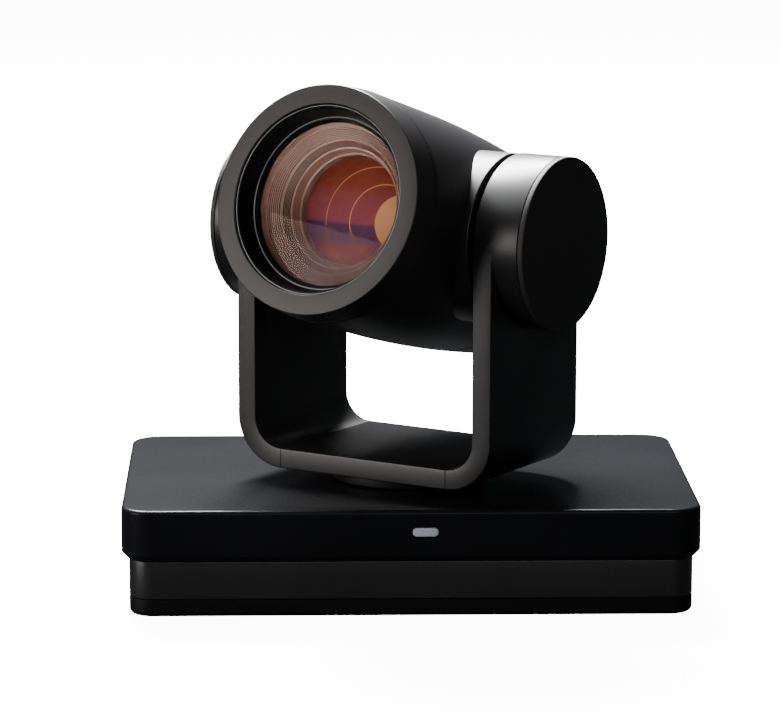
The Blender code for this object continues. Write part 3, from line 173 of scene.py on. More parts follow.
def rectangle_rings(half_x, half_y, corner, insets, heights, hole=None, shares=None, steps=12):
    """Rings of a rounded rectangle, each moved in by its inset, at its height.

    A point is its corner's centre plus the corner's radius, less the inset, in the direction of the
    turn. With a hole (x, y, radius), each ring moves towards that circle by its share.
    """
    turn = np.linspace(0, math.pi / 2, steps)
    angle = np.concatenate([turn + quarter * math.pi / 2 for quarter in range(4)])
    signs = np.repeat([[1, 1], [-1, 1], [-1, -1], [1, -1]], steps, axis=0)
    centres = signs * [half_x - corner, half_y - corner]
    outwards = np.stack([np.cos(angle), np.sin(angle)], -1)
    insets, heights = np.asarray(insets, float), np.asarray(heights, float)
    flat = centres + outwards * (corner - np.minimum(insets, corner - 1e-4))[:, None, None]
    if hole:
        bearing = np.arctan2(flat[0, :, 1] - hole[1], flat[0, :, 0] - hole[0])
        circle = np.stack([np.cos(bearing), np.sin(bearing)], -1) * hole[2] + hole[:2]
        share = np.asarray(shares, float)[:, None, None]
        flat = flat * (1 - share) + circle * share
    tall = np.broadcast_to(heights[:, None, None], (*flat.shape[:2], 1))
    return np.concatenate([flat, tall], -1)


def piece(name, mesh, body, slot, materials, *replaced):
    """A finished piece at the origin that rides on a body and stands for CAD nodes."""
    mesh.name = name
    for material in materials:
        mesh.materials.append(material)
    made = bpy.data.objects.new(name, mesh)
    bpy.context.scene.collection.objects.link(made)
    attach(made, body)
    if replaced:
        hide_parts(*replaced)


def combined(mesh, tools, operation="DIFFERENCE", crease=32):
    """The mesh with each tool mesh cut away or joined on, by exact Booleans."""
    target = bpy.data.objects.new("target", mesh)
    bpy.context.scene.collection.objects.link(target)
    helpers = []
    for tool in tools:
        helper = bpy.data.objects.new("tool", tool)
        bpy.context.scene.collection.objects.link(helper)
        change = target.modifiers.new("change", "BOOLEAN")
        change.operation = operation
        change.object = helper
        helpers.append(helper)
    graph = bpy.context.evaluated_depsgraph_get()
    made = bpy.data.meshes.new_from_object(target.evaluated_get(graph))
    for helper in (target, *helpers):
        bpy.data.objects.remove(helper)
    made.shade_smooth()
    made.set_sharp_from_angle(angle=math.radians(crease))
    return made


def rod(radius, low, high, place=BASE, centre=(0.0, 0.0), steps=32):
    """A plain round rod about a place's Z axis, for cutting or joining."""
    return turned("rod", [(0, high), (radius, high), (radius, low), (0, low)], steps, False, place, centre)


def shader_of(name):
    """A new material, its node tree and its Principled shader."""
    material = bpy.data.materials.new(name)
    material.use_nodes = True
    return material, material.node_tree, material.node_tree.nodes["Principled BSDF"]


def noise(tree, scale, detail=4.0, stretch=(1.0, 1.0, 1.0)):
    """Noise on Object coordinates: its factor's socket."""
    where = tree.nodes.new("ShaderNodeTexCoord")
    turn = tree.nodes.new("ShaderNodeMapping")
    turn.inputs["Scale"].default_value = stretch
    made = tree.nodes.new("ShaderNodeTexNoise")
    made.inputs["Scale"].default_value = scale
    made.inputs["Detail"].default_value = detail
    tree.links.new(where.outputs["Object"], turn.inputs["Vector"])
    tree.links.new(turn.outputs["Vector"], made.inputs["Vector"])
    return made.outputs["Fac"]


def ranged(tree, value, low, high, start=0.3, end=0.7):
    """A socket's value from start to end, spread from low to high."""
    spread = tree.nodes.new("ShaderNodeMapRange")
    spread.inputs["From Min"].default_value = start
    spread.inputs["From Max"].default_value = end
    spread.inputs["To Min"].default_value = low
    spread.inputs["To Max"].default_value = high
    tree.links.new(value, spread.inputs["Value"])
    return spread.outputs["Result"]


def two_tone(tree, value, dark, light, start=0.3, end=0.7):
    """A colour ramp between two colours over a socket's value."""
    ramp = tree.nodes.new("ShaderNodeValToRGB")
    ramp.color_ramp.elements[0].position = start
    ramp.color_ramp.elements[0].color = (*dark, 1)
    ramp.color_ramp.elements[1].position = end
    ramp.color_ramp.elements[1].color = (*light, 1)
    tree.links.new(value, ramp.inputs["Fac"])
    return ramp.outputs["Color"]


def bumped(tree, shader, value, depth):
    """Bump from a socket's value, in metres of height."""
    bump = tree.nodes.new("ShaderNodeBump")
    bump.inputs["Strength"].default_value = 0.6
    bump.inputs["Distance"].default_value = depth
    tree.links.new(value, bump.inputs["Height"])
    tree.links.new(bump.outputs["Normal"], shader.inputs["Normal"])


def painted(name, dark, light, smooth, rough, grain=2600, depth=2.5e-5, specular=0.5, metallic=0.0):
    """Fine-grained paint or moulded plastic: a slow change of tone, and a grain in gloss and height."""
    material, tree, shader = shader_of(name)
    cloud = noise(tree, 22, 3)
    fleck = noise(tree, grain, 2)
    tree.links.new(two_tone(tree, cloud, dark, light), shader.inputs["Base Color"])
    tree.links.new(ranged(tree, fleck, smooth, rough), shader.inputs["Roughness"])
    shader.inputs["Specular IOR Level"].default_value = specular
    shader.inputs["Metallic"].default_value = metallic
    bumped(tree, shader, fleck, depth)
    return material


TRAY_BLACK = painted(
    "tray_black", (0.0014, 0.0014, 0.0016), (0.0026, 0.0026, 0.0028), 0.42, 0.55, specular=0.2
)

tray_edge = rounded(
    [(0, TRAY_TOP, 0), (0, TRAY_LOW[2], TRAY_EDGE), (TRAY_CORNER, TRAY_LOW[2], 0)], 8, False
)[1:-1]
tray_top = np.array([[TRAY_WALL, TRAY_TOP], [FINE_EDGE, TRAY_TOP], [0, TRAY_TOP - FINE_EDGE]])
tray_floor = TRAY_LOW[2] + TRAY_FLOOR
outside = np.concatenate([tray_top, tray_edge])
under = np.array([[2 * TRAY_EDGE, TRAY_LOW[2]], [0, TRAY_LOW[2]], [0, tray_floor], [TRAY_WALL, tray_floor]])
line = np.concatenate([outside, under])
shares = np.zeros(len(line))
shares[len(outside) + 1 : len(outside) + 3] = 1.0
plate_hole = (PAN_X, PAN_Y, PLATE_RADIUS - PLATE_STEP + SEAT_GAP)
tray_mesh = sheet_mesh(
    "base_tray",
    rectangle_rings(*TRAY_HIGH[:2], TRAY_CORNER, line[:, 0], line[:, 1], plate_hole, shares),
    along=True,
)
CORNERS = ("front_left", "front_right", "back_left", "back_right")
foot_boxes = {name: local_box(f"foot_{name}") for name in CORNERS}
screw_boxes = {name: local_box(f"cover_screw_{name}") for name in CORNERS}
POST_RADIUS = 0.0040
POST_TOP = 0.0200
HEAD_SEAT = 0.0031
HEAD_SEAT_TOP = 0.0036
SCREW_HOLE = 0.0018
FOOT_SEAT_TOP = 0.0022
BELOW = -0.01
tray_posts, tray_cuts = [], []
for low, high in screw_boxes.values():
    middle = (low + high)[:2] / 2
    tray_posts.append(rod(POST_RADIUS, TRAY_LOW[2] + 0.001, POST_TOP, centre=middle))
    tray_cuts.append(rod(HEAD_SEAT, BELOW, HEAD_SEAT_TOP, centre=middle))
    tray_cuts.append(rod(SCREW_HOLE, BELOW, 0.03, centre=middle, steps=20))
for low, high in foot_boxes.values():
    seat = (high[0] - low[0]) / 2 + SEAT_GAP
    tray_cuts.append(rod(seat, BELOW, FOOT_SEAT_TOP, centre=(low + high)[:2] / 2, steps=64))
tray_mesh = combined(combined(tray_mesh, tray_posts, "UNION"), tray_cuts)
piece("tray", tray_mesh, "base", "shell_black", [TRAY_BLACK], "base_tray")

# --- Feet ---
# Four round rubber pads, moulded with a shallow ring in the face, glued in their seats in the tray.

RUBBER, tree, shader = shader_of("foot_rubber")
dust = noise(tree, 260, 6)
dusty = two_tone(tree, dust, (0.010, 0.010, 0.010), (0.022, 0.021, 0.020))
tree.links.new(dusty, shader.inputs["Base Color"])
tree.links.new(ranged(tree, dust, 0.75, 0.95), shader.inputs["Roughness"])
bumped(tree, shader, dust, 6e-5)
FOOT_GROOVE = 0.0005
for name, (low, high) in foot_boxes.items():
    radius = (high[0] - low[0]) / 2
    groove = low[2] + FOOT_GROOVE
    foot_line = rounded(
        [
            (0, high[2], 0),
            (radius, high[2], 0.0003),
            (radius, low[2], 0.0005),
            (radius * 0.72, low[2], 0.0002),
            (radius * 0.70, groove, 0.0002),
            (radius * 0.58, groove, 0.0002),
            (radius * 0.56, low[2], 0.0002),
            (0, low[2], 0),
        ],
        3,
        False,
    )
    mesh = turned(f"foot_pad_{name}", foot_line, 64, False, centre=(low + high)[:2] / 2)
    piece(f"foot_pad_{name}", mesh, "base", "rubber", [RUBBER], f"foot_{name}")

# --- Cover screws ---
# Four zinc-plated M3 pan-head screws with a cross recess, driven from below through the tray's posts
# into the cover.

SCREW_HEAD = 0.0018
SCREW_SHANK = 0.0015
SHANK_RINGS = 160
RECESS_WIDTH = 0.00055
RECESS_LENGTH = 0.0030
RECESS_DEPTH = 0.0012
THREAD_PITCH = 0.0005
THREAD_DEPTH = 0.00028


def steel_look(name, tone, smooth=0.22, rough=0.38, stretch=(1.0, 1.0, 14.0), scale=500):
    """Plated or machined metal: fine streaks along one axis in tone, gloss and height."""
    material, tree, shader = shader_of(name)
    streak = noise(tree, scale, 5, stretch)
    dark = tuple(0.78 * c for c in tone)
    tree.links.new(two_tone(tree, streak, dark, tone), shader.inputs["Base Color"])
    tree.links.new(ranged(tree, streak, smooth, rough), shader.inputs["Roughness"])
    shader.inputs["Metallic"].default_value = 1.0
    bumped(tree, shader, streak, 8e-6)
    return material


ZINC = steel_look("zinc_plate", (0.60, 0.61, 0.62))


def threaded(name, line, start, end, pitch, depth, centre, steps=28, inner=False):
    """A turned line whose radius between two heights follows a screw thread.

    There the radius changes by the depth times a triangle wave of (height / pitch - turn), which
    fades to nothing over one pitch at each end.
    """
    angle = np.linspace(0, 2 * math.pi, steps, endpoint=False)
    radius, height = line[:, 0, None], line[:, 1, None]
    wave = np.abs((height / pitch - angle / (2 * math.pi)) % 1.0 - 0.5) * 2
    fade = np.clip(np.minimum(height - start, end - height) / pitch, 0, 1)
    radius = radius + (wave if inner else -wave) * depth * fade
    grid = np.stack(
        [centre[0] + radius * np.cos(angle), centre[1] + radius * np.sin(angle), height + 0 * angle], -1
    )
    return sheet_mesh(name, grid, True, inner)


def stacked(rings, heights):
    """Rings of (x, y) points, each at its height, as one grid of points."""
    return np.stack([np.column_stack([ring, np.full(len(ring), z)]) for ring, z in zip(rings, heights)])


for name, (low, high) in screw_boxes.items():
    middle = (low + high)[:2] / 2
    head = (high[0] - low[0]) / 2
    under_head = low[2] + SCREW_HEAD
    shank = np.linspace(under_head, high[2] - 0.0006, SHANK_RINGS)
    head_line = [(0, low[2], 0), (head, low[2], 0.0007), (head, under_head, 0.0001), (0, under_head, 0)]
    screw_line = np.concatenate(
        [
            rounded(head_line, 5, False)[:-1],
            np.stack([np.full(SHANK_RINGS, SCREW_SHANK), shank], -1),
            [[0.0009, high[2]], [0, high[2]]],
        ]
    )
    thread = (under_head + 0.001, high[2], THREAD_PITCH, THREAD_DEPTH)
    mesh = threaded(f"screw_{name}", screw_line, *thread, middle)
    cross = []
    for wide, long in ((RECESS_WIDTH, RECESS_LENGTH), (RECESS_LENGTH, RECESS_WIDTH)):
        corners = np.array([[1, 1], [-1, 1], [-1, -1], [1, -1]]) * [wide / 2, long / 2]
        rings = [share * corners + middle for share in (0.0, 1.0, 0.45, 0.0)]
        outer, inner = low[2] - 0.0005, low[2] + RECESS_DEPTH
        cross.append(sheet_mesh("recess", stacked(rings, [outer, outer, inner, inner])))
    piece(f"screw_{name}", combined(mesh, cross), "base", "steel", [ZINC], f"cover_screw_{name}")

# --- Tripod plate ---
# A turned steel disc on the pan axis that the whole camera stands on when it is fixed to a tripod or
# a bracket. Its 1/4-20 thread is cut right through.

THREAD_RADIUS = 0.003175
TRIPOD_PITCH = 0.00127
TRIPOD_DEPTH = 0.00035
BRIGHT_STEEL = steel_look("turned_steel", (0.62, 0.62, 0.63), 0.20, 0.34, (1, 1, 1), 900)
bore_heights = np.linspace(PLATE_HIGH[2] - 0.0005, PLATE_LOW[2] + 0.0005, 90)
bore_line = np.stack([np.full(90, THREAD_RADIUS - TRIPOD_DEPTH), bore_heights], -1)
plate_outside = rounded(
    [
        (THREAD_RADIUS + 0.0002, PLATE_LOW[2], 0),
        (PLATE_RADIUS - PLATE_STEP, PLATE_LOW[2], 0.0004),
        (PLATE_RADIUS - PLATE_STEP, tray_floor + SEAT_GAP, 0),
        (PLATE_RADIUS, tray_floor + SEAT_GAP, 0.0002),
        (PLATE_RADIUS, PLATE_HIGH[2], 0.0004),
        (THREAD_RADIUS + 0.0002, PLATE_HIGH[2], 0),
    ],
    4,
    False,
)
mesh = threaded(
    "tripod_disc",
    np.concatenate([plate_outside, bore_line]),
    PLATE_LOW[2] + 0.0005,
    PLATE_HIGH[2] - 0.0005,
    TRIPOD_PITCH,
    TRIPOD_DEPTH,
    (PAN_X, PAN_Y),
    72,
    True,
)
piece("tripod_disc", mesh, "base", "steel", [BRIGHT_STEEL], "tripod_plate")

# --- Base band ---
# A smoked plastic band under the lip of the cover. It is smooth, and the infrared receiver looks
# through its front. It ends at the connector panel.

BAND_WALL = 0.0025
PANEL_LOW, PANEL_HIGH = local_box("connector_panel")
WINDOW_HALF = (PANEL_HIGH[0] - PANEL_LOW[0]) / 2 - 0.0040
BAND_BLACK = painted(
    "smoked_band", (0.0120, 0.0122, 0.0130), (0.0165, 0.0165, 0.0170), 0.30, 0.40, 1500, 1.2e-5
)
band_line = rounded(
    [
        (0, BAND_HIGH[2], FINE_EDGE),
        (0, BAND_LOW[2], FINE_EDGE),
        (BAND_WALL, BAND_LOW[2], 0),
        (BAND_WALL, BAND_HIGH[2], 0),
    ],
    4,
)
band_mesh = sheet_mesh(
    "base_band",
    rectangle_rings(BAND_HIGH[0], BAND_HIGH[1], TRAY_CORNER, band_line[:, 0], band_line[:, 1]),
    along=True,
)


def box_tool(low, high):
    """A plain box between two corners, for cutting: four-sided rings from floor to top."""
    low, high = np.asarray(low, float), np.asarray(high, float)
    middle = (low + high)[:2] / 2
    ring = np.array([[high[0], high[1]], [low[0], high[1]], [low[0], low[1]], [high[0], low[1]]])
    pole = np.tile(middle, (4, 1))
    return sheet_mesh("box", stacked([pole, ring, ring, pole], [low[2], low[2], high[2], high[2]]))


back_window = ((-WINDOW_HALF, PANEL_HIGH[1] - SEAT_GAP, -0.01), (WINDOW_HALF, 0.1, 0.06))
band_mesh = combined(band_mesh, [box_tool(*back_window)])
piece("smoked_band", band_mesh, "base", "band_black", [BAND_BLACK], "base_band")

# --- Base top cover ---
# The deep lid of the base, die-cast and painted satin black. Its lip hangs over the band, and its top
# edge is a small round. The yoke's spindle passes through its ceiling.

LID_CORNER = 0.0122
LID_EDGE = 0.0016
LIP_CHAMFER = 0.0023
LIP_UNDER = 0.0006
LIP_BOTTOM = BAND_HIGH[2] + SEAT_GAP
LID_WALL = 0.0035
LID_CEILING = 0.0025
SPINDLE_HOLE = 0.0115
LID_BLACK = painted(
    "lid_black", (0.0060, 0.0063, 0.0074), (0.0085, 0.0089, 0.0104), 0.22, 0.28, 3000, 1.5e-5, 0.07
)
lid_outside = rounded(
    [
        (LID_CORNER * 0.9, COVER_HIGH[2], 0),
        (0, COVER_HIGH[2], LID_EDGE),
        (0, LIP_BOTTOM + LIP_CHAMFER, LIP_UNDER),
        (LIP_CHAMFER, LIP_BOTTOM, FINE_EDGE),
        (LID_WALL, LIP_BOTTOM, 0),
    ],
    10,
    False,
)
ceiling = COVER_HIGH[2] - LID_CEILING
lid_line = np.concatenate(
    [
        [[LID_CORNER, COVER_HIGH[2]]],
        lid_outside,
        [[LID_WALL, ceiling], [LID_CORNER, ceiling]],
    ]
)
shares = np.zeros(len(lid_line))
shares[[0, -1]] = 1.0
lid_mesh = sheet_mesh(
    "base_lid",
    rectangle_rings(
        COVER_HIGH[0],
        COVER_HIGH[1],
        LID_CORNER,
        lid_line[:, 0],
        lid_line[:, 1],
        (PAN_X, PAN_Y, SPINDLE_HOLE),
        shares,
    ),
    along=True,
)
STATUS_LOW, STATUS_HIGH = local_box("status_lens")
status_middle = (STATUS_LOW + STATUS_HIGH) / 2


def pill(name, width, height, low_y, high_y, edge, steps=16):
    """A pill-shaped plate that faces -Y, with round ends and a softened front edge.

    Each ring is a half circle at each end; the rings shrink by the edge's quarter circle at the front.
    """
    half = np.linspace(-math.pi / 2, math.pi / 2, steps)
    reach = (width - height) / 2
    angle = np.concatenate([half, half + math.pi])
    ends = np.repeat([reach, -reach], steps)
    turn = np.linspace(0, math.pi / 2, 5)
    insets = np.concatenate([[height / 2], edge * (1 - np.sin(turn)), [0, height / 2]])
    depth = np.concatenate([[low_y], low_y + edge * (1 - np.cos(turn)), [high_y, high_y]])
    radius = (height / 2 - insets)[:, None]
    grid = np.stack(
        [
            status_middle[0] + ends * (1 - (insets == height / 2)[:, None]) + radius * np.cos(angle),
            depth[:, None] + 0 * angle,
            status_middle[2] + radius * np.sin(angle),
        ],
        -1,
    )
    return sheet_mesh(name, grid)


lid_cuts = [
    box_tool((-WINDOW_HALF, PANEL_HIGH[1] - SEAT_GAP, -0.01), (WINDOW_HALF, 0.1, PANEL_HIGH[2] - 0.0020)),
    pill("window", 0.0106, 0.0040, -0.1, -0.06, 0.0001),
]
lid_bosses = []
for low, high in screw_boxes.values():
    middle = (low + high)[:2] / 2
    lid_bosses.append(rod(POST_RADIUS, POST_TOP + SEAT_GAP, ceiling + 0.001, centre=middle))
    lid_cuts.append(rod(0.0018, 0.01, high[2] + 0.0003, centre=middle, steps=20))
lid_mesh = combined(combined(lid_mesh, lid_bosses, "UNION"), lid_cuts)
piece("base_lid", lid_mesh, "base", "shell_black", [LID_BLACK], "base_top_cover")

# --- Status light ---
# A small pill of frosted plastic, pressed into the lid's front wall, that the light behind it fills.

STATUS, tree, shader = shader_of("frosted_window")
frost = noise(tree, 1800, 3)
tree.links.new(two_tone(tree, frost, (0.42, 0.50, 0.56), (0.60, 0.68, 0.73)), shader.inputs["Base Color"])
tree.links.new(ranged(tree, frost, 0.25, 0.45), shader.inputs["Roughness"])
shader.inputs["Subsurface Weight"].default_value = 0.2
shader.inputs["Subsurface Scale"].default_value = 0.001
mesh = pill("status_window", 0.0100, 0.0034, STATUS_LOW[1], STATUS_HIGH[1], 0.0004)
piece("status_window", mesh, "base", "clear_plastic", [STATUS], "status_lens")

# --- Connector panel ---
# The folded steel panel that closes the back of the base, painted black, with an opening for each
# socket and for the power switch.

PORTS = ("network_jack", "usb_port", "hdmi_port", "serial_port", "power_jack", "video_connector")
PORT_BOXES = {name: local_box(name) for name in (*PORTS, "switch_frame")}
PORT_GAP = 0.00025
FAR_BACK = 0.1


def prism(name, outline, front, back, edge=0.0):
    """An outline of (x, z) points carried along Y, its two ends drawn in by the edge."""
    outline = np.asarray(outline, float)
    middle = (outline.min(0) + outline.max(0)) / 2
    half = (outline.max(0) - outline.min(0)) / 2
    drawn = middle + (outline - middle) * (1 - edge / half)
    pole = np.broadcast_to(middle, outline.shape)
    rings = [pole, drawn, outline, outline, drawn, pole] if edge else [pole, outline, outline, pole]
    deep = [front, front, front + edge, back - edge, back, back] if edge else [front, front, back, back]
    grid = np.stack(
        [np.column_stack([ring[:, 0], np.full(len(ring), y), ring[:, 1]]) for ring, y in zip(rings, deep)]
    )
    return sheet_mesh(name, grid)


def oblong(x, z, wide, tall, corner=0.0004, steps=4):
    """A rounded rectangle of (x, z) points about a middle."""
    signs = ((1, 1), (-1, 1), (-1, -1), (1, -1))
    return rounded([(x + i * wide / 2, z + j * tall / 2, corner) for i, j in signs], steps)


def dial(x, z, radius, steps=40):
    """A circle of (x, z) points: x + r cos t, z + r sin t."""
    angle = np.linspace(0, 2 * math.pi, steps, endpoint=False)
    return np.stack([x + radius * np.cos(angle), z + radius * np.sin(angle)], -1)


PANEL_BLACK = painted(
    "panel_black", (0.0105, 0.0105, 0.0110), (0.0150, 0.0150, 0.0155), 0.45, 0.6, 1800, 4e-5
)
panel_middle = (PANEL_LOW + PANEL_HIGH) / 2
panel_size = PANEL_HIGH - PANEL_LOW
openings = []
for low, high in PORT_BOXES.values():
    middle, size = (low + high) / 2, high - low + 2 * PORT_GAP
    outline = oblong(middle[0], middle[2], size[0], size[2])
    openings.append(prism("opening", outline, PANEL_LOW[1] - 0.01, FAR_BACK))
panel_outline = oblong(panel_middle[0], panel_middle[2], panel_size[0], panel_size[2], 0.0015)
mesh = combined(prism("rear_panel", panel_outline, PANEL_LOW[1], PANEL_HIGH[1], 0.0002), openings)
piece("rear_panel", mesh, "base", "shell_black", [PANEL_BLACK], "connector_panel")

# --- Network jack ---
# A shielded RJ45 jack: a folded, tin-plated steel can on the main board, with eight gilded springs.

GILT = steel_look("gilt_springs", (0.78, 0.58, 0.26), 0.18, 0.30, (1, 14, 1), 700)
TIN_PLATE = steel_look("tin_plate", (0.58, 0.585, 0.60), 0.24, 0.40, (1, 14, 1), 420)
JACK_DEPTH = 0.0120
HALF_MOUTH = np.array(
    [
        [0.0060, 0.0036],
        [0.0060, -0.0034],
        [0.0032, -0.0034],
        [0.0032, -0.0050],
        [0.0018, -0.0050],
        [0.0018, -0.0064],
    ]
)
SPRING_PITCH = 0.00102


def blocked(port, corner, edge=0.0003):
    """A connector's block, as wide, tall and deep as its box, with its middle (x, z) and its back."""
    low, high = PORT_BOXES[port]
    x, _, z = (low + high) / 2
    wide, _, tall = high - low
    return prism(port, oblong(x, z, wide, tall, corner), low[1], high[1], edge), x, z, high[1]


can, x, z, back = blocked("network_jack", 0.0004)
mouth_z = z + 0.0008
mouth_outline = np.concatenate([HALF_MOUTH, HALF_MOUTH[::-1] * [-1, 1]]) + [x, mouth_z]
can = combined(can, [prism("mouth", mouth_outline, back - JACK_DEPTH, FAR_BACK)])
piece("network_can", can, "base", "steel", [TIN_PLATE], "network_jack")
for k, spring_x in enumerate(x + (np.arange(8) - 3.5) * SPRING_PITCH):
    outline = oblong(spring_x, mouth_z + 0.0029, 0.00045, 0.0005, 0.0001)
    spring = prism(f"spring_{k}", outline, back - 0.0119, back - 0.002)
    piece(f"network_spring_{k}", spring, "base", "steel", [GILT])

# --- USB and HDMI sockets ---
# Folded steel shells with a moulded black tongue that carries the contacts.

HDMI_MOUTH = (
    (0.0070, 0.0023),
    (-0.0070, 0.0023),
    (-0.0070, -0.0007),
    (-0.0052, -0.0023),
    (0.0052, -0.0023),
    (0.0070, -0.0007),
)
NYLON = painted("black_nylon", (0.012, 0.012, 0.012), (0.020, 0.020, 0.020), 0.4, 0.55, 1500, 2e-5)
shell_mesh, x, z, back = blocked("usb_port", 0.0006)
mouth = prism("mouth", oblong(x, z, 0.0125, 0.0051, 0.0003), back - 0.010, FAR_BACK)
piece("usb_shell", combined(shell_mesh, [mouth]), "base", "steel", [TIN_PLATE], "usb_port")
outline = oblong(x, z + 0.0009, 0.0110, 0.0018, 0.0003)
tongue = prism("usb_tongue", outline, back - 0.0099, back - 0.0012, 0.0003)
piece("usb_tongue", tongue, "base", "black_plastic", [NYLON])
shell_mesh, x, z, back = blocked("hdmi_port", 0.0005)
mouth_outline = rounded([(x + across, z + up, 0.0003) for across, up in HDMI_MOUTH])
mouth = prism("mouth", mouth_outline, back - 0.009, FAR_BACK)
piece("hdmi_shell", combined(shell_mesh, [mouth]), "base", "steel", [TIN_PLATE], "hdmi_port")
outline = oblong(x, z + 0.0004, 0.0110, 0.0012, 0.0003)
tongue = prism("hdmi_tongue", outline, back - 0.0089, back - 0.001, 0.0002)
piece("hdmi_tongue", tongue, "base", "black_plastic", [NYLON])

# --- Serial, power and video sockets ---
# Moulded black bodies. The serial socket is a mini-DIN with eight holes in a round well, the power
# socket has a steel pin, and the video socket is a bayonet barrel with two lugs.

PIN_PITCH = 0.0013
PIN_ROWS = ((-1, -1), (0, -1), (1, -1), (-1.3, 0.2), (0, 0.2), (1.3, 0.2), (-0.7, 1.3), (0.7, 1.3))
body, x, z, back = blocked("serial_port", 0.0008, 0.0004)
well = prism("well", dial(x, z, 0.0048), back - 0.0060, FAR_BACK)
piece("serial_body", combined(body, [well]), "base", "black_plastic", [NYLON], "serial_port")
plug_face = prism("plug_face", dial(x, z, 0.0036), back - 0.0062, back - 0.0012, 0.0003)
holes = []
for across, up in PIN_ROWS:
    hole = dial(x + across * PIN_PITCH, z + up * PIN_PITCH, 0.00045, 12)
    holes.append(prism("hole", hole, back - 0.004, FAR_BACK))
piece("serial_face", combined(plug_face, holes), "base", "black_plastic", [PANEL_BLACK])
body, x, z, back = blocked("power_jack", 0.0006, 0.0004)
mouth_z = PORT_BOXES["power_jack"][1][2] - 0.0050
well = prism("well", dial(x, mouth_z, 0.0032), back - 0.0090, FAR_BACK)
piece("power_body", combined(body, [well]), "base", "black_plastic", [NYLON], "power_jack")
pin = prism("pin", dial(x, mouth_z, 0.0010, 20), back - 0.0091, back - 0.0015, 0.0003)
piece("power_pin", pin, "base", "steel", [TIN_PLATE])
low, high = PORT_BOXES["video_connector"]
(x, _, z), (wide, _, tall), back = (low + high) / 2, high - low, high[1]
BAYONET = place_of([1.0, 0.0, 0.0], [0.0, 1.0, 0.0], [x, 0.0, z])
block_back = PORT_BOXES["usb_port"][1][1]
body = prism("video_block", oblong(x, z, wide, tall, 0.0008), low[1], block_back, 0.0004)
barrel_out = rounded(
    [
        (0, back, 0),
        (0.0043, back, 0.0004),
        (0.0043, back - 0.0018, 0.0002),
        (0.0048, back - 0.0020, 0.0002),
        (0.0048, block_back - 0.001, 0),
        (0, block_back - 0.001, 0),
    ],
    3,
    False,
)
lugs = prism("lugs", oblong(x, z, 0.0114, 0.0016, 0.0006), back - 0.0042, back - 0.0026, 0.0002)
bayonet = turned("bayonet", barrel_out, 64, False, BAYONET)
well = rod(0.0034, back - 0.0085, FAR_BACK, BAYONET, steps=48)
video_mesh = combined(combined(body, [bayonet, lugs], "UNION"), [well])
piece("video_socket", video_mesh, "base", "black_plastic", [NYLON], "video_connector")
sleeve_line = rounded(
    [
        (0.0009, back - 0.0020, 0.0002),
        (0.0004, back - 0.0020, 0.0001),
        (0.0004, back - 0.0085, 0),
        (0.0009, back - 0.0085, 0),
    ],
    3,
)
piece("video_pin", turned("sleeve", sleeve_line, 24, True, BAYONET), "base", "steel", [GILT])

# --- Power switch ---
# A black nylon frame that snaps into the panel, with a rocker that tips on its middle. The rocker has
# the usual line and circle moulded in its face.

FRAME_WALL = 0.0017
low, high = PORT_BOXES["switch_frame"]
middle, size = (low + high) / 2, high - low
body = prism("switch_body", oblong(middle[0], middle[2], size[0], size[2], 0.0012), low[1], high[1], 0.0004)
outline = oblong(middle[0], middle[2], size[0] - 2 * FRAME_WALL, size[2] - 2 * FRAME_WALL, 0.0006)
well = prism("well", outline, low[1] + 0.0020, FAR_BACK)
piece("switch_surround", combined(body, [well]), "base", "black_plastic", [NYLON], "switch_frame")
MARK_WHITE = painted("mark_white", (0.55, 0.55, 0.54), (0.62, 0.62, 0.61), 0.4, 0.5, 900, 1e-5)
ROCKER_TILT = math.radians(7)
ROCKER_DEPTH, ROCKER_DIP, ROCKER_PEAK = 0.0030, 0.0013, 0.0024
rocker_low, rocker_high = local_box("switch_rocker")
reach = size[0] / 2 - FRAME_WALL - 0.0006
half_tall = (rocker_high[2] - rocker_low[2]) / 2
tipped = [math.cos(ROCKER_TILT), math.sin(ROCKER_TILT), 0.0]
PIVOT = place_of(tipped, UPWARDS, [middle[0], high[1] - ROCKER_DEPTH / 2, middle[2]])
rocker_outline = rounded(
    [
        (reach, ROCKER_PEAK, 0.0005),
        (0, ROCKER_DIP, 0.0150),
        (-reach, ROCKER_PEAK, 0.0005),
        (-reach, -ROCKER_DEPTH, 0.0003),
        (reach, -ROCKER_DEPTH, 0.0003),
    ],
    5,
)
core = np.array([0.0, -ROCKER_DEPTH / 2])
levels = ((0.0, half_tall), (0.97, half_tall), (1.0, half_tall - 0.0003))
levels = [*levels, *((share, -tall) for share, tall in levels[::-1])]
grid = stacked([core + (rocker_outline - core) * share for share, _ in levels], [z for _, z in levels])
mesh = sheet_mesh("rocker", grid, place=PIVOT)
piece("rocker", mesh, "switch_rocker", "black_plastic", [NYLON], "switch_rocker")
wing = math.atan((ROCKER_PEAK - ROCKER_DIP) / reach)
MARK_REACH = 0.0045
ring_out, ring_in = dial(0, 0, 0.0016, 32), dial(0, 0, 0.0012, 32)
for name, side in (("line", -1), ("circle", 1)):
    across = [math.cos(ROCKER_TILT + side * wing), math.sin(ROCKER_TILT + side * wing), 0.0]
    on_face = np.array([side * MARK_REACH, ROCKER_DIP + MARK_REACH * math.tan(wing), 0.0])
    centre = PIVOT[:3, :3] @ on_face + PIVOT[:3, 3]
    outline = ring_out if side > 0 else oblong(0, 0, 0.0004, 0.0030, 0.0001)
    mark = prism("mark", outline, -0.0002, 0.00006)
    if side > 0:
        mark = combined(mark, [prism("gap", ring_in, -0.001, 0.001)])
    mark.transform(Matrix(place_of(across, UPWARDS, centre)))
    piece(f"rocker_{name}", mark, "switch_rocker", "black_plastic", [MARK_WHITE])

# --- Yoke ---
# A U of cast aluminium, painted satin black. It is three castings: a flat bridge on the turntable,
# and two arms that each end in a hollow drum.

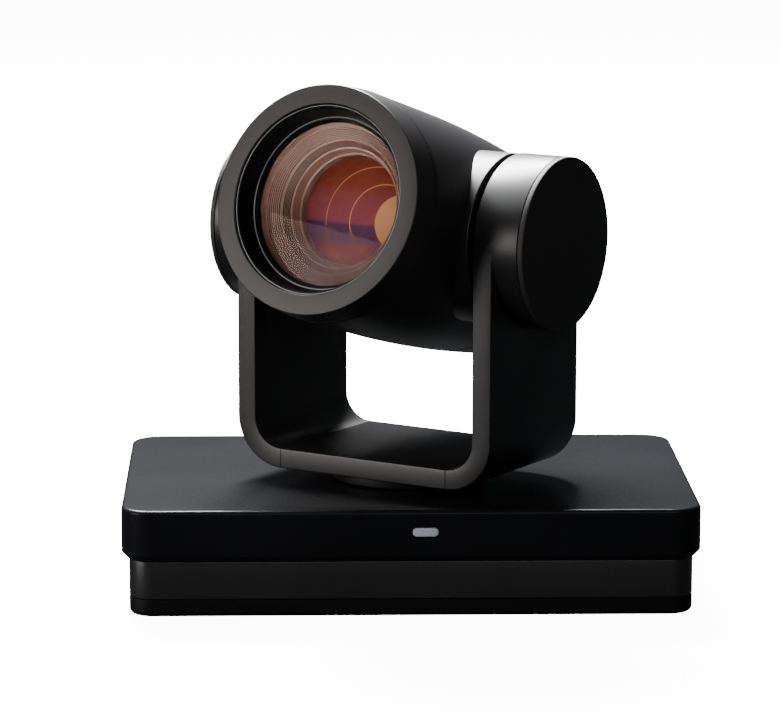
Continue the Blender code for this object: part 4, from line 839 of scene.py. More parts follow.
ARM_LOW, ARM_HIGH = local_box("yoke_arm_right", YOKE)
BRIDGE_LOW, BRIDGE_HIGH = local_box("yoke_bridge", YOKE)
CAP_LOW, CAP_HIGH = local_box("drum_cap_right", YOKE)
TILT_Z = HEAD[2, 3]
DRUM_RADIUS = (ARM_HIGH[1] - ARM_LOW[1]) / 2
ARM_OUTER = 0.0578
ARM_INNER = 0.0496
YOKE_CORNER = 0.0200
YOKE_EDGE = 0.0004
DRUM_WALL = 0.0025
DRUM_BACK = 0.0040
BEARING_SEAT = 0.0098
SATIN_BLACK = painted(
    "satin_black", (0.0075, 0.0076, 0.0082), (0.0110, 0.0110, 0.0115), 0.30, 0.38, 3200, 2.0e-5, 0.4
)


def sided(mesh, direction, limit=0.97):
    """Gives the faces that look along a direction the second material."""
    normals = np.empty(len(mesh.polygons) * 3, np.float32)
    mesh.polygons.foreach_get("normal", normals)
    facing = normals.reshape(-1, 3) @ np.asarray(direction, np.float32) > limit
    mesh.polygons.foreach_set("material_index", facing.astype(np.int32))
    mesh.update()


FRONT = -YOKE[:3, 1]
BRIDGE_Z = (BRIDGE_LOW[2], BRIDGE_HIGH[2])
half_turn = np.linspace(math.radians(1), math.pi / 2, 25)


def mirrored(mesh):
    """A copy on the other side of the yoke: x' = -x in the yoke's place, with its faces turned back."""
    other = mesh.copy()
    points = np.empty(len(other.vertices) * 3, np.float32)
    other.vertices.foreach_get("co", points)
    points = points.reshape(-1, 3).astype(float)
    across = (points - YOKE[:3, 3]) @ YOKE[:3, 0]
    points -= 2 * across[:, None] * YOKE[:3, 0]
    other.vertices.foreach_set("co", points.astype(np.float32).ravel())
    other.flip_normals()
    other.update()
    return other


seam = BRIDGE_HIGH[0] + SEAT_GAP
outer_centre = np.array([ARM_OUTER - YOKE_CORNER, BRIDGE_Z[0] + YOKE_CORNER])
inner_corner = ARM_INNER - seam
inner_centre = np.array([seam, BRIDGE_Z[1] + inner_corner])
round_turn = np.stack([np.sin(half_turn), -np.cos(half_turn)], -1)
top_z = TILT_Z - 0.0004
outer_line = np.concatenate(
    [[[seam, BRIDGE_Z[0]]], outer_centre + YOKE_CORNER * round_turn, [[ARM_OUTER, top_z]]]
)
inner_line = np.concatenate(
    [[[seam, BRIDGE_Z[1]]], inner_centre + inner_corner * round_turn, [[ARM_INNER, top_z]]]
)
thick = np.linalg.norm(outer_line - inner_line, axis=1)
inwards = (inner_line - outer_line) / thick[:, None]
quarter = np.linspace(0, math.pi / 2, 5)
from_face = YOKE_EDGE * (1 - np.sin(quarter))
from_side = YOKE_EDGE * (1 - np.cos(quarter))
depths = np.concatenate([DRUM_RADIUS - from_face[::-1], -DRUM_RADIUS + from_face])
margins = np.concatenate([from_side[::-1], from_side])
outer_points = outer_line[:, None] + inwards[:, None] * margins[None, :, None]
inner_points = inner_line[:, None] - inwards[:, None] * margins[None, ::-1, None]
ring = np.concatenate([outer_points, inner_points], 1)
depth = np.broadcast_to(np.concatenate([depths, depths[::-1]]), ring.shape[:2])
grid = np.stack([ring[..., 0], depth, ring[..., 1]], -1)
ends = [np.broadcast_to(grid[k].mean(0), (1, *grid[k].shape)) for k in (0, -1)]
arm_mesh = sheet_mesh("arm", np.concatenate([ends[0], grid, ends[1]]), place=YOKE)
RIGHTWARDS = place_of(-UPWARDS, ACROSS, HEAD[:3, 3])
drum_line = rounded(
    [
        (0, ARM_INNER, 0),
        (DRUM_RADIUS, ARM_INNER, YOKE_EDGE),
        (DRUM_RADIUS, ARM_HIGH[0], YOKE_EDGE / 2),
        (DRUM_RADIUS - DRUM_WALL, ARM_HIGH[0], YOKE_EDGE / 2),
        (DRUM_RADIUS - DRUM_WALL, ARM_INNER + DRUM_BACK, 0.001),
        (0, ARM_INNER + DRUM_BACK, 0),
    ],
    4,
    False,
)
drum = turned("drum", drum_line, 144, False, RIGHTWARDS)
hollow = rod(DRUM_RADIUS - DRUM_WALL, ARM_INNER + DRUM_BACK, ARM_HIGH[0] + 0.01, RIGHTWARDS, steps=144)
seat = rod(BEARING_SEAT, ARM_INNER - 0.01, ARM_HIGH[0], RIGHTWARDS, steps=64)
arm_mesh = combined(combined(arm_mesh, [drum], "UNION"), [hollow, seat])
for side_name, mesh in (("right", arm_mesh), ("left", mirrored(arm_mesh))):
    piece(f"arm_{side_name}", mesh, "yoke", "shell_black", [SATIN_BLACK], f"yoke_arm_{side_name}")

edge_in, edge_up = YOKE_EDGE * (1 - np.sin(quarter)), YOKE_EDGE * (1 - np.cos(quarter))
bridge_y = np.concatenate([DRUM_RADIUS - edge_in[::-1], -DRUM_RADIUS + edge_in])
bridge_up = np.concatenate([edge_up[::-1], edge_up])
ring_y = np.concatenate([bridge_y, bridge_y[::-1]])
ring_z = np.concatenate([BRIDGE_Z[0] + bridge_up, BRIDGE_Z[1] - bridge_up])
stations = np.array([BRIDGE_LOW[0], BRIDGE_LOW[0], BRIDGE_HIGH[0], BRIDGE_HIGH[0]])[:, None]
shrink = np.array([0.0, 1.0, 1.0, 0.0])[:, None]
middle_z = sum(BRIDGE_Z) / 2
grid = np.stack([stations + 0 * ring_y, ring_y * shrink, middle_z + (ring_z - middle_z) * shrink], -1)
bridge_mesh = sheet_mesh("bridge", grid, place=YOKE)
bridge_mesh = combined(bridge_mesh, [rod(0.0070, BRIDGE_Z[0] - 0.01, BRIDGE_Z[0] + 0.0039, YOKE)])
# The front faces keep the satin black. The rest of the bridge gets a copy of it with its sheen nearly taken
# away: painted shade where the head hides the bridge's top from the light behind.
sided(bridge_mesh, FRONT)
BRIDGE_SHADED_BLACK = painted(
    "bridge_black_painted_shade", (0.0075, 0.0076, 0.0082), (0.0110, 0.0110, 0.0115), 0.26, 0.32, 3200, 2.0e-5, 0.03
)
piece("bridge", bridge_mesh, "yoke", "shell_black", [BRIDGE_SHADED_BLACK, SATIN_BLACK], "yoke_bridge")

# --- Drum caps ---
# Flat turned discs, painted a dead matte black, pressed into the open ends of the drums.

CAP_BLACK = painted("cap_black", (0.0085, 0.0080, 0.0072), (0.0118, 0.0110, 0.0100), 0.55, 0.68, 2400, 4e-5)
for side_name, side in (("left", -1), ("right", 1)):
    outwards = place_of(-side * UPWARDS, side * ACROSS, HEAD[:3, 3])
    spigot = DRUM_RADIUS - DRUM_WALL - SEAT_GAP
    cap_line = rounded(
        [
            (0, CAP_HIGH[0], 0),
            (DRUM_RADIUS, CAP_HIGH[0], 0.0006),
            (DRUM_RADIUS, ARM_HIGH[0] + SEAT_GAP, 0.0001),
            (spigot, ARM_HIGH[0] + SEAT_GAP, 0),
            (spigot, CAP_LOW[0], 0.0002),
            (spigot - DRUM_WALL, CAP_LOW[0], 0.0002),
            (spigot - DRUM_WALL, ARM_HIGH[0] + SEAT_GAP, 0),
            (0, ARM_HIGH[0] + SEAT_GAP, 0),
        ],
        5,
        False,
    )
    mesh = turned(f"cap_{side_name}", cap_line, 144, False, outwards)
    piece(f"cap_{side_name}", mesh, "yoke", "shell_black", [CAP_BLACK], f"drum_cap_{side_name}")

# --- Turntable ---
# A turned aluminium disc, anodised black, on a hollow spindle that runs in the pan bearing. Its black is
# darker than the other blacks, partly the anodising and partly painted shade where it shows under the bridge.

TABLE_LOW, TABLE_HIGH = local_box("pan_turntable", YOKE)
TABLE_RADIUS = TABLE_HIGH[0]
# Extra-dark black: the anodising together with painted shade under the bridge.
ANODISED_PAINTED_SHADE = painted(
    "black_anodised_painted_shade", (0.0035, 0.0035, 0.0038), (0.0055, 0.0055, 0.0060), 0.50, 0.62, 900, 1e-5, 0.2
)
table_line = rounded(
    [
        (TABLE_RADIUS, TABLE_HIGH[2], 0.0003),
        (TABLE_RADIUS, COVER_HIGH[2] + 0.0005, 0.0005),
        (0.0110, COVER_HIGH[2] + 0.0005, 0),
        (0.0110, TABLE_LOW[2], 0.0005),
        (0.0070, TABLE_LOW[2], 0.0003),
        (0.0070, TABLE_HIGH[2], 0.0003),
    ],
    4,
)
mesh = turned("turntable", table_line, 128, True, YOKE)
piece("turntable", mesh, "yoke", "aluminium", [ANODISED_PAINTED_SHADE], "pan_turntable")

# --- Head shell ---
# The round body of the head, moulded in satin black. A short hub on each side faces the arm, and the
# body narrows a little towards its back.

SHELL_LOW, SHELL_HIGH = local_box("head_shell", HEAD)
REAR_LOW, REAR_HIGH = local_box("head_rear_cover", HEAD)
HEAD_RADIUS = 0.0453
HEAD_WALL = 0.0025
TAPER_START = 0.0200
TAPER_RATE = 0.76
HUB_RADIUS = DRUM_RADIUS - 0.0003
HUB_REACH = SHELL_HIGH[0]
SEAM_EDGE = 0.0003


def head_radius(ahead):
    """The head's radius: full in front of the taper's start, less the square of the distance behind it."""
    return HEAD_RADIUS - TAPER_RATE * np.maximum(0.0, TAPER_START - np.asarray(ahead)) ** 2


HEAD_BLACK = painted(
    "head_black", (0.0070, 0.0070, 0.0078), (0.0105, 0.0105, 0.0118), 0.34, 0.46, 3000, 2.2e-5
)
ahead = np.linspace(SHELL_HIGH[2] - SEAM_EDGE, SHELL_LOW[2] + SEAM_EDGE, 40)
body_line = np.concatenate(
    [
        [[0, SHELL_HIGH[2]], [HEAD_RADIUS - 2 * SEAM_EDGE, SHELL_HIGH[2]]],
        [[HEAD_RADIUS - 0.3 * SEAM_EDGE, SHELL_HIGH[2] - 0.3 * SEAM_EDGE]],
        np.stack([head_radius(ahead), ahead], -1),
        [[head_radius(SHELL_LOW[2]) - SEAM_EDGE, SHELL_LOW[2]], [0, SHELL_LOW[2]]],
    ]
)
shell_mesh = turned("shell", body_line, 160, False, HEAD)
SIDEWAYS = place_of(HEAD[:3, 1], ACROSS, HEAD[:3, 3])
hub_line = rounded(
    [
        (0, HUB_REACH, 0),
        (HUB_RADIUS, HUB_REACH, 0.0005),
        (HUB_RADIUS, -HUB_REACH, 0.0005),
        (0, -HUB_REACH, 0),
    ],
    5,
    False,
)
hub = turned("hub", hub_line, 144, False, SIDEWAYS)
inside = np.linspace(SHELL_HIGH[2] + 0.01, SHELL_LOW[2] - 0.01, 12)
bore = np.concatenate(
    [[[0, inside[0]]], np.stack([head_radius(inside) - HEAD_WALL, inside], -1), [[0, inside[-1]]]]
)
hub_hollow = rod(HUB_RADIUS - HEAD_WALL, HEAD_WALL - HUB_REACH, HUB_REACH - HEAD_WALL, SIDEWAYS, steps=96)
shaft_hole = rod(0.0103, -HUB_REACH - 0.01, HUB_REACH + 0.01, SIDEWAYS, steps=48)
shell_mesh = combined(shell_mesh, [hub], "UNION")
shell_mesh = combined(shell_mesh, [turned("bore", bore, 96, False, HEAD), hub_hollow, shaft_hole])
piece("head_body", shell_mesh, "head", "shell_black", [HEAD_BLACK], "head_shell")

# --- Rear cover ---
# The moulded cup that closes the head from behind, with a wide round edge and a row of cooling slots.

REAR_EDGE = 0.0090
seam = REAR_HIGH[2]
back = REAR_LOW[2]
sides = np.linspace(seam - SEAM_EDGE, back + REAR_EDGE, 12)
turn_radius = float(head_radius(back + REAR_EDGE))
bend = np.linspace(0, math.pi / 2, 14)[1:]
bend_out = np.stack([turn_radius - REAR_EDGE * (1 - np.cos(bend)), back + REAR_EDGE * (1 - np.sin(bend))], -1)
slim = REAR_EDGE - HEAD_WALL
bend_in = np.stack(
    [turn_radius - REAR_EDGE + slim * np.cos(bend), back + REAR_EDGE - slim * np.sin(bend)], -1
)
rear_line = np.concatenate(
    [
        [[0, back]],
        bend_out[::-1],
        np.stack([head_radius(sides), sides], -1)[::-1],
        [[head_radius(seam) - SEAM_EDGE, seam], [head_radius(seam) - HEAD_WALL, seam]],
        np.stack([head_radius(sides) - HEAD_WALL, sides], -1)[1:],
        bend_in,
        [[0, back + HEAD_WALL]],
    ]
)
rear_mesh = turned("rear", rear_line, 160, False, HEAD)
SLOT_SPREAD = 0.0120
SLOT_REACH = 0.0140
SLOT_WIDTH = 0.0016
SLOT_DEPTH = 0.0012
slots = []
for offset in np.linspace(-SLOT_SPREAD, SLOT_SPREAD, 5):
    reach = SLOT_REACH - 0.15 * abs(offset)
    ring = oblong(0, offset, 2 * reach, SLOT_WIDTH, 0.00079, 6)
    pole = np.zeros_like(ring) + [0, offset]
    heights = [back - 0.002] * 2 + [back + SLOT_DEPTH] * 2
    slots.append(sheet_mesh("slot", stacked([pole, ring, ring, pole], heights), place=HEAD))
rear_mesh = combined(rear_mesh, slots)
piece("rear_cup", rear_mesh, "head", "shell_black", [HEAD_BLACK], "head_rear_cover")

# --- Tilt shafts ---
# Turned aluminium shafts with a wide flange, anodised black, which fills the gap between a hub and
# its arm.

SHAFT_LOW, SHAFT_HIGH = local_box("tilt_shaft_right", HEAD)
FLANGE_RADIUS = HUB_RADIUS - 0.0052
# The shafts share the turntable's extra-dark anodised black and its painted shade.
for side_name, side in (("left", -1), ("right", 1)):
    outwards = place_of(-side * HEAD[:3, 1], side * ACROSS, HEAD[:3, 3])
    shaft_line = rounded(
        [
            (0.0057, SHAFT_HIGH[0], 0.0004),
            (0.0057, ARM_INNER - SEAT_GAP, 0.0003),
            (FLANGE_RADIUS, ARM_INNER - SEAT_GAP, 0.0003),
            (FLANGE_RADIUS, HUB_REACH + SEAT_GAP, 0.0003),
            (0.0100, HUB_REACH + SEAT_GAP, 0),
            (0.0100, SHAFT_LOW[0], 0.0003),
            (0.0035, SHAFT_LOW[0], 0.0002),
            (0.0035, SHAFT_HIGH[0], 0.0002),
        ],
        3,
    )
    mesh = turned(f"shaft_{side_name}", shaft_line, 96, True, outwards)
    piece(f"shaft_{side_name}", mesh, "head", "aluminium", [ANODISED_PAINTED_SHADE], f"tilt_shaft_{side_name}")

# --- Lens hood ---
# The ring at the front of the head: a turned and painted part with satin black sides. Its flat front face is
# drawn in a lighter warm grey, painted light from the lamp at the left.

HOOD_LOW, HOOD_HIGH = local_box("lens_hood", HEAD)
RING_RADIUS = 0.0442
RING_BORE = 0.0366
# The lighter warm grey of the front face is painted light: the light from the left falling on the face.
FACE_PAINTED_LIGHT = painted(
    "face_grey", (0.023, 0.0195, 0.0186), (0.028, 0.0242, 0.0232), 0.44, 0.56, 3600, 3.5e-5, 0.42
)
hood_line = np.concatenate(
    [
        [[RING_BORE, HOOD_HIGH[2] - 0.0003], [RING_BORE + 0.0002, HOOD_HIGH[2] - 0.00005]],
        [[RING_BORE + 0.0003, HOOD_HIGH[2]], [RING_RADIUS - 0.0004, HOOD_HIGH[2]]],
        [[RING_RADIUS - 0.0003, HOOD_HIGH[2] - 0.00003], [RING_RADIUS, HOOD_HIGH[2] - 0.0004]],
        np.stack(
            [
                np.linspace(RING_RADIUS + 0.00002, HEAD_RADIUS, 8),
                np.linspace(HOOD_HIGH[2] - 0.0006, HOOD_LOW[2] + SEAM_EDGE, 8),
            ],
            -1,
        ),
        [[HEAD_RADIUS - SEAM_EDGE, HOOD_LOW[2]], [RING_BORE, HOOD_LOW[2]]],
    ]
)
mesh = turned("hood_ring", hood_line, 192, True, HEAD, crease=25)
sided(mesh, AHEAD, 0.995)
piece("hood_ring", mesh, "head", "face_grey", [HEAD_BLACK, FACE_PAINTED_LIGHT], "lens_hood")

# --- Lens bezel ---
# A glossy black moulded funnel inside the hood. Its mouth has a thin lip, and its throat ends in a fine
# chamfer. A thin light grey ring on the chamfer and another on the lip are painted highlights.

BEZEL_LOW, BEZEL_HIGH = local_box("lens_bezel", HEAD)
BEZEL_OUTER = RING_BORE - SEAT_GAP
BEZEL_MOUTH = 0.0357
BEZEL_THROAT = 0.0329
THROAT_FACE = BEZEL_LOW[2] + 0.0024
GLOSS_BLACK = painted(
    "gloss_black", (0.0022, 0.0024, 0.0030), (0.0034, 0.0037, 0.0044), 0.36, 0.46, 1400, 4e-6, 0.10
)
funnel = np.linspace(0, 1, 16)
funnel_line = np.stack(
    [
        BEZEL_MOUTH - 0.0003 + (BEZEL_THROAT + 0.0003 - BEZEL_MOUTH + 0.0003) * funnel**0.8,
        BEZEL_HIGH[2] - 0.0004 + (THROAT_FACE + 0.0002 - BEZEL_HIGH[2] + 0.0004) * funnel,
    ],
    -1,
)
bezel_line = np.concatenate(
    [
        [[BEZEL_OUTER, BEZEL_HIGH[2] - 0.0002], [BEZEL_OUTER - 0.0002, BEZEL_HIGH[2]]],
        [[BEZEL_MOUTH + 0.0001, BEZEL_HIGH[2]], [BEZEL_MOUTH - 0.0002, BEZEL_HIGH[2] - 0.0002]],
        funnel_line,
        [[BEZEL_THROAT, THROAT_FACE], [BEZEL_THROAT, BEZEL_LOW[2]], [BEZEL_OUTER, BEZEL_LOW[2]]],
    ]
)
mesh = turned("bezel_funnel", bezel_line, 192, True, HEAD, crease=28)
piece("bezel_funnel", mesh, "head", "black_plastic", [GLOSS_BLACK], "lens_bezel")
# A light grey, partly metallic finish for two thin rings on the black plastic: painted highlights where the
# edges catch the light.
EDGE_PAINTED_HIGHLIGHT = painted(
    "edge_painted_highlight", (0.30, 0.30, 0.31), (0.38, 0.38, 0.39), 0.40, 0.50, 1200, 1e-5, metallic=0.3
)
throat_highlight_line = np.array(
    [
        [BEZEL_THROAT + 0.00005, THROAT_FACE],
        [BEZEL_THROAT + 0.00005, THROAT_FACE + 0.00022],
        [BEZEL_THROAT + 0.00030, THROAT_FACE + 0.00040],
        [BEZEL_THROAT + 0.00042, THROAT_FACE + 0.00030],
    ]
)
mesh = turned("throat_painted_highlight", throat_highlight_line, 192, True, HEAD)
piece("throat_painted_highlight", mesh, "head", "black_plastic", [EDGE_PAINTED_HIGHLIGHT])
mouth_highlight_line = np.array(
    [
        [BEZEL_OUTER - 0.00010, BEZEL_HIGH[2] + 0.00002],
        [BEZEL_OUTER - 0.00012, BEZEL_HIGH[2] + 0.00012],
        [BEZEL_OUTER - 0.00028, BEZEL_HIGH[2] + 0.00012],
        [BEZEL_OUTER - 0.00030, BEZEL_HIGH[2] + 0.00002],
    ]
)
mesh = turned("mouth_painted_highlight", mouth_highlight_line, 192, True, HEAD)
piece("mouth_painted_highlight", mesh, "head", "black_plastic", [EDGE_PAINTED_HIGHLIGHT])

# --- Retaining ring ---
# The threaded black ring that holds the front glass in the mouth of the barrel.

RETAINER_LOW, RETAINER_HIGH = local_box("lens_retaining_ring", HEAD)
RETAINER_BORE = 0.0314
RETAINER_OUTER = RETAINER_HIGH[0]
retainer_line = rounded(
    [
        (RETAINER_OUTER, RETAINER_HIGH[2], 0.0001),
        (RETAINER_OUTER, RETAINER_LOW[2], 0),
        (RETAINER_BORE, RETAINER_LOW[2], 0),
        (RETAINER_BORE, RETAINER_LOW[2] + 0.0003, 0.0001),
        (RETAINER_BORE + 0.0009, RETAINER_HIGH[2], 0.0001),
    ],
    2,
)
mesh = turned("retainer", retainer_line, 192, True, HEAD)
piece("retainer", mesh, "head", "black_plastic", [GLOSS_BLACK], "lens_retaining_ring")

# --- Front glass ---
# The domed front element of the zoom lens, with an anti-reflection coating that shows a faint warm
# tint. Light passes through it to the ribs behind.

GLASS_LOW, GLASS_HIGH = local_box("front_glass", HEAD)
GLASS_RADIUS = GLASS_HIGH[0]
GLASS_RIM = RETAINER_LOW[2] - SEAT_GAP
GLASS_BULGE = GLASS_HIGH[2] - GLASS_RIM


def dome(radius, rim, bulge, count=24):
    """Points of a dome from its middle to its rim: height falls with the square of the radius."""
    r = np.linspace(0, radius, count)
    return np.stack([r, rim + bulge * (1 - (r / radius) ** 2)], -1)


def coated(name, tint, pass_tint, roughness=0.0, ior=1.45, coat=(0.5, 0.3, 0.4)):
    """Glass with a coating: it bends what is seen through it, and lets lamps through with a tint."""
    material, tree, shader = shader_of(name)
    ripple = noise(tree, 60, 2)
    lighter = tuple(min(1.0, 1.05 * c) for c in tint)
    tree.links.new(two_tone(tree, ripple, tint, lighter), shader.inputs["Base Color"])
    shader.inputs["Transmission Weight"].default_value = 1.0
    shader.inputs["Roughness"].default_value = roughness
    shader.inputs["IOR"].default_value = ior
    shader.inputs["Specular Tint"].default_value = (*coat, 1)
    clear = tree.nodes.new("ShaderNodeBsdfTransparent")
    clear.inputs["Color"].default_value = (*pass_tint, 1)
    rays = tree.nodes.new("ShaderNodeLightPath")
    mix = tree.nodes.new("ShaderNodeMixShader")
    tree.links.new(rays.outputs["Is Shadow Ray"], mix.inputs["Fac"])
    tree.links.new(shader.outputs["BSDF"], mix.inputs[1])
    tree.links.new(clear.outputs["BSDF"], mix.inputs[2])
    tree.links.new(mix.outputs["Shader"], tree.nodes["Material Output"].inputs["Surface"])
    return material


FRONT_COATING = coated("front_coating", (1.0, 0.93, 0.90), (1.0, 0.95, 0.93), ior=1.12, coat=(1.0, 0.75, 0.8))
front_dome = dome(GLASS_RADIUS - 0.0009, GLASS_RIM, GLASS_BULGE)
back_dome = dome(GLASS_RADIUS - 0.0009, GLASS_LOW[2], GLASS_BULGE * 0.55)[::-1]
glass_line = np.concatenate(
    [front_dome, [[GLASS_RADIUS, GLASS_RIM - 0.0001], [GLASS_RADIUS, GLASS_LOW[2]]], back_dome]
)
mesh = turned("front_element", glass_line, 160, False, HEAD)
piece("front_element", mesh, "head", "coated_glass", [FRONT_COATING], "front_glass")

# --- Lens barrel ---
# The moulded barrel of the zoom lens. Behind the front glass its wall steps inwards in fine ribs, which stop
# stray light, down to a smooth lip around the next element. Its black plastic is drawn in a warm brown-pink,
# partly the coating's tint and partly painted light on the rib flats; the falls between the ribs are a darker
# brown, painted shade.

BARREL_LOW, BARREL_HIGH = local_box("lens_barrel", HEAD)
BARREL_FRONT = BARREL_HIGH[0]
BARREL_SEAT = GLASS_LOW[2] - SEAT_GAP
LEDGE = 0.0305


def ribbed(start, end, count, height):
    """Ribs along a straight line between two (radius, height) points: each has a flat and a fall."""
    start, end = np.array(start), np.array(end)
    share = np.repeat(np.arange(count), 4) + np.tile([0.0, 0.45, 0.55, 0.95], count)
    lift = np.tile([0.0, 0.0, -1.0, -1.0], count) * height
    line = start + (end - start) * (share / count)[:, None]
    line[:, 1] += lift
    return line


CELL_FRONT = BARREL_SEAT - 0.0112
CELL_RADIUS = 0.0214
outer_ribs = ribbed((LEDGE, BARREL_SEAT - 0.0002), (0.0262, BARREL_SEAT - 0.0032), 7, 0.00045)
inner_ribs = ribbed((0.0256, BARREL_SEAT - 0.0042), (0.0236, BARREL_SEAT - 0.0066), 6, 0.00030)
barrel_line = np.concatenate(
    [
        [[BARREL_FRONT, BARREL_HIGH[2]], [BARREL_FRONT, 0.0240], [0.0270, 0.0240], [0.0270, BARREL_LOW[2]]],
        [[0.0240, BARREL_LOW[2]], [0.0240, 0.0270], [LEDGE, 0.0270], [LEDGE, CELL_FRONT - 0.0045]],
        [[CELL_RADIUS, CELL_FRONT - 0.0045], [CELL_RADIUS, CELL_FRONT]],
        [[CELL_RADIUS + 0.0006, CELL_FRONT + 0.0004], [0.0230, BARREL_SEAT - 0.0072]],
        inner_ribs[::-1],
        [[0.0260, BARREL_SEAT - 0.0038]],
        outer_ribs[::-1],
        [[GLASS_RADIUS + SEAT_GAP, BARREL_SEAT], [GLASS_RADIUS + SEAT_GAP, BARREL_HIGH[2]]],
    ]
)


def grooved(mesh, lines):
    """Gives the faces between each groove's two radii about the lens axis the second material."""
    centres = np.empty(len(mesh.polygons) * 3, np.float32)
    mesh.polygons.foreach_get("center", centres)
    local = (centres.reshape(-1, 3) - HEAD[:3, 3]) @ HEAD[:3, :3]
    radius = np.hypot(local[:, 0], local[:, 1])
    falls = [(lines[k + 2, 0], lines[k + 3, 0]) for k in range(0, len(lines), 4)]
    inside = [(radius <= high + 2e-5) & (radius >= low - 2e-5) for high, low in falls]
    dark = np.any(inside, 0) & (local[:, 2] > CELL_FRONT)
    mesh.polygons.foreach_set("material_index", dark.astype(np.int32))
    mesh.update()


# Warm brown-pink: the coating's tint together with painted light on the lit rib flats.
BARREL_PAINTED_LIGHT, tree, shader = shader_of("barrel_coating_tint_and_painted_light")
rub = noise(tree, 700, 4)
warm = two_tone(tree, rub, (0.046, 0.0255, 0.0190), (0.058, 0.0330, 0.0255))
tree.links.new(warm, shader.inputs["Base Color"])
tree.links.new(ranged(tree, rub, 0.28, 0.42), shader.inputs["Roughness"])
shader.inputs["Specular IOR Level"].default_value = 0.15
bumped(tree, shader, rub, 1e-5)
mesh = turned("zoom_barrel", barrel_line, 192, True, HEAD, crease=20)
grooved(mesh, np.concatenate([outer_ribs, inner_ribs]))
GROOVE = painted(
    "groove_shade", (0.0050, 0.0028, 0.0022), (0.0080, 0.0045, 0.0035), 0.5, 0.65, 800, 1e-5, 0.15
)
piece("zoom_barrel", mesh, "head", "black_plastic", [BARREL_PAINTED_LIGHT, GROOVE], "lens_barrel")

# --- Second element ---
# The coated glass behind the baffle, with a multi-layer coating. Its colour is painted reflection: warm reds
# above and below and violet across the middle, with the fine circles of the elements behind it as painted
# glints and a bright tan disc as a painted highlight.

COATING_PAINTED_REFLECTIONS, tree, shader = shader_of("coating_painted_reflections")
CELL_CENTRE = HEAD[:3, 3] + AHEAD * CELL_FRONT
REFLECTION_BAND_HALF = 0.022


def stepped(value, stops):
    """A colour ramp with a stop for each (position, colour)."""
    node = tree.nodes.new("ShaderNodeValToRGB")
    while len(node.color_ramp.elements) < len(stops):
        node.color_ramp.elements.new(0.5)
    for element, (position, colour) in zip(node.color_ramp.elements, stops):
        element.position = position
        element.color = (*colour, 1)
    tree.links.new(value, node.inputs["Fac"])
    return node.outputs["Color"]


def spread_from(centre, sizes):
    """The length of (position - centre) / sizes: one on an ellipsoid with those half sizes."""
    where = tree.nodes.new("ShaderNodeTexCoord")
    away = tree.nodes.new("ShaderNodeVectorMath")
    away.operation = "SUBTRACT"
    away.inputs[1].default_value = centre
    scaled = tree.nodes.new("ShaderNodeVectorMath")
    scaled.operation = "DIVIDE"
    scaled.inputs[1].default_value = sizes
    length = tree.nodes.new("ShaderNodeVectorMath")
    length.operation = "LENGTH"
    tree.links.new(where.outputs["Object"], away.inputs[0])
    tree.links.new(away.outputs["Vector"], scaled.inputs[0])
    tree.links.new(scaled.outputs["Vector"], length.inputs[0])
    return length.outputs["Value"]


def mixed(factor, first, second):
    """Two colours blended by a factor socket."""
    mix = tree.nodes.new("ShaderNodeMix")
    mix.data_type = "RGBA"
    tree.links.new(factor, mix.inputs["Factor"])
    tree.links.new(first, mix.inputs[6])
    tree.links.new(second, mix.inputs[7])
    return mix.outputs[2]


where = tree.nodes.new("ShaderNodeTexCoord")
split = tree.nodes.new("ShaderNodeSeparateXYZ")
tree.links.new(where.outputs["Object"], split.inputs["Vector"])
# Painted reflection: bands of warm red and violet by height, standing in for the coating's reflections of the
# lamps.
height = ranged(tree, split.outputs["Z"], 0.0, 1.0, CELL_CENTRE[2] - REFLECTION_BAND_HALF, CELL_CENTRE[2] + REFLECTION_BAND_HALF)
reflection_bands = stepped(
    height,
    (
        (0.00, (0.040, 0.0065, 0.0065)),
        (0.19, (0.042, 0.0070, 0.0080)),
        (0.23, (0.019, 0.0062, 0.0140)),
        (0.37, (0.018, 0.0068, 0.0185)),
        (0.40, (0.052, 0.0125, 0.0170)),
        (0.60, (0.044, 0.0115, 0.0125)),
        (0.70, (0.040, 0.0085, 0.0048)),
        (1.00, (0.028, 0.0075, 0.0036)),
    ),
)
LENS_UP = HEAD[:3, 1]


def circle(across, radius, width, strength):
    """A thin circle of painted glint: strength where the distance from its centre is the radius, else
    nothing.
    """
    centre = CELL_CENTRE + ACROSS * across - LENS_UP * 0.0030
    away = ranged(tree, spread_from(centre, (1.0, 1.0, 1.0)), 0.0, 1.0, radius - width, radius + width)
    bright = (strength, strength, strength)
    return stepped(away, ((0.0, (0, 0, 0)), (0.5, bright), (1.0, (0, 0, 0))))


# Two thin bright circles: painted glints on the rims of the elements behind.
wide_painted_glint = circle(0.0105, 0.0210, 0.0003, 0.75)
small_painted_glint = circle(0.0150, 0.0145, 0.0003, 0.85)
# A bright tan disc to one side: a painted highlight on an inner lens. The tan below is the colour of these
# painted glints and this highlight.
highlight_disc_centre = CELL_CENTRE + ACROSS * 0.0230 - LENS_UP * 0.0030
away = ranged(tree, spread_from(highlight_disc_centre, (1, 1, 1)), 0.0, 1.0, 0.0117, 0.0120)
painted_highlight_disc = stepped(away, ((0.0, (0.75, 0.75, 0.75)), (1.0, (0, 0, 0))))
tan = tree.nodes.new("ShaderNodeRGB")
tan.outputs[0].default_value = (0.17, 0.085, 0.040, 1)
reflection_layers = mixed(painted_highlight_disc, reflection_bands, tan.outputs[0])
for arc in (wide_painted_glint, small_painted_glint):
    reflection_layers = mixed(arc, reflection_layers, tan.outputs[0])
tree.links.new(reflection_layers, shader.inputs["Base Color"])
mist = noise(tree, 90, 3)
tree.links.new(ranged(tree, mist, 0.22, 0.32), shader.inputs["Roughness"])
shader.inputs["Specular IOR Level"].default_value = 0.015
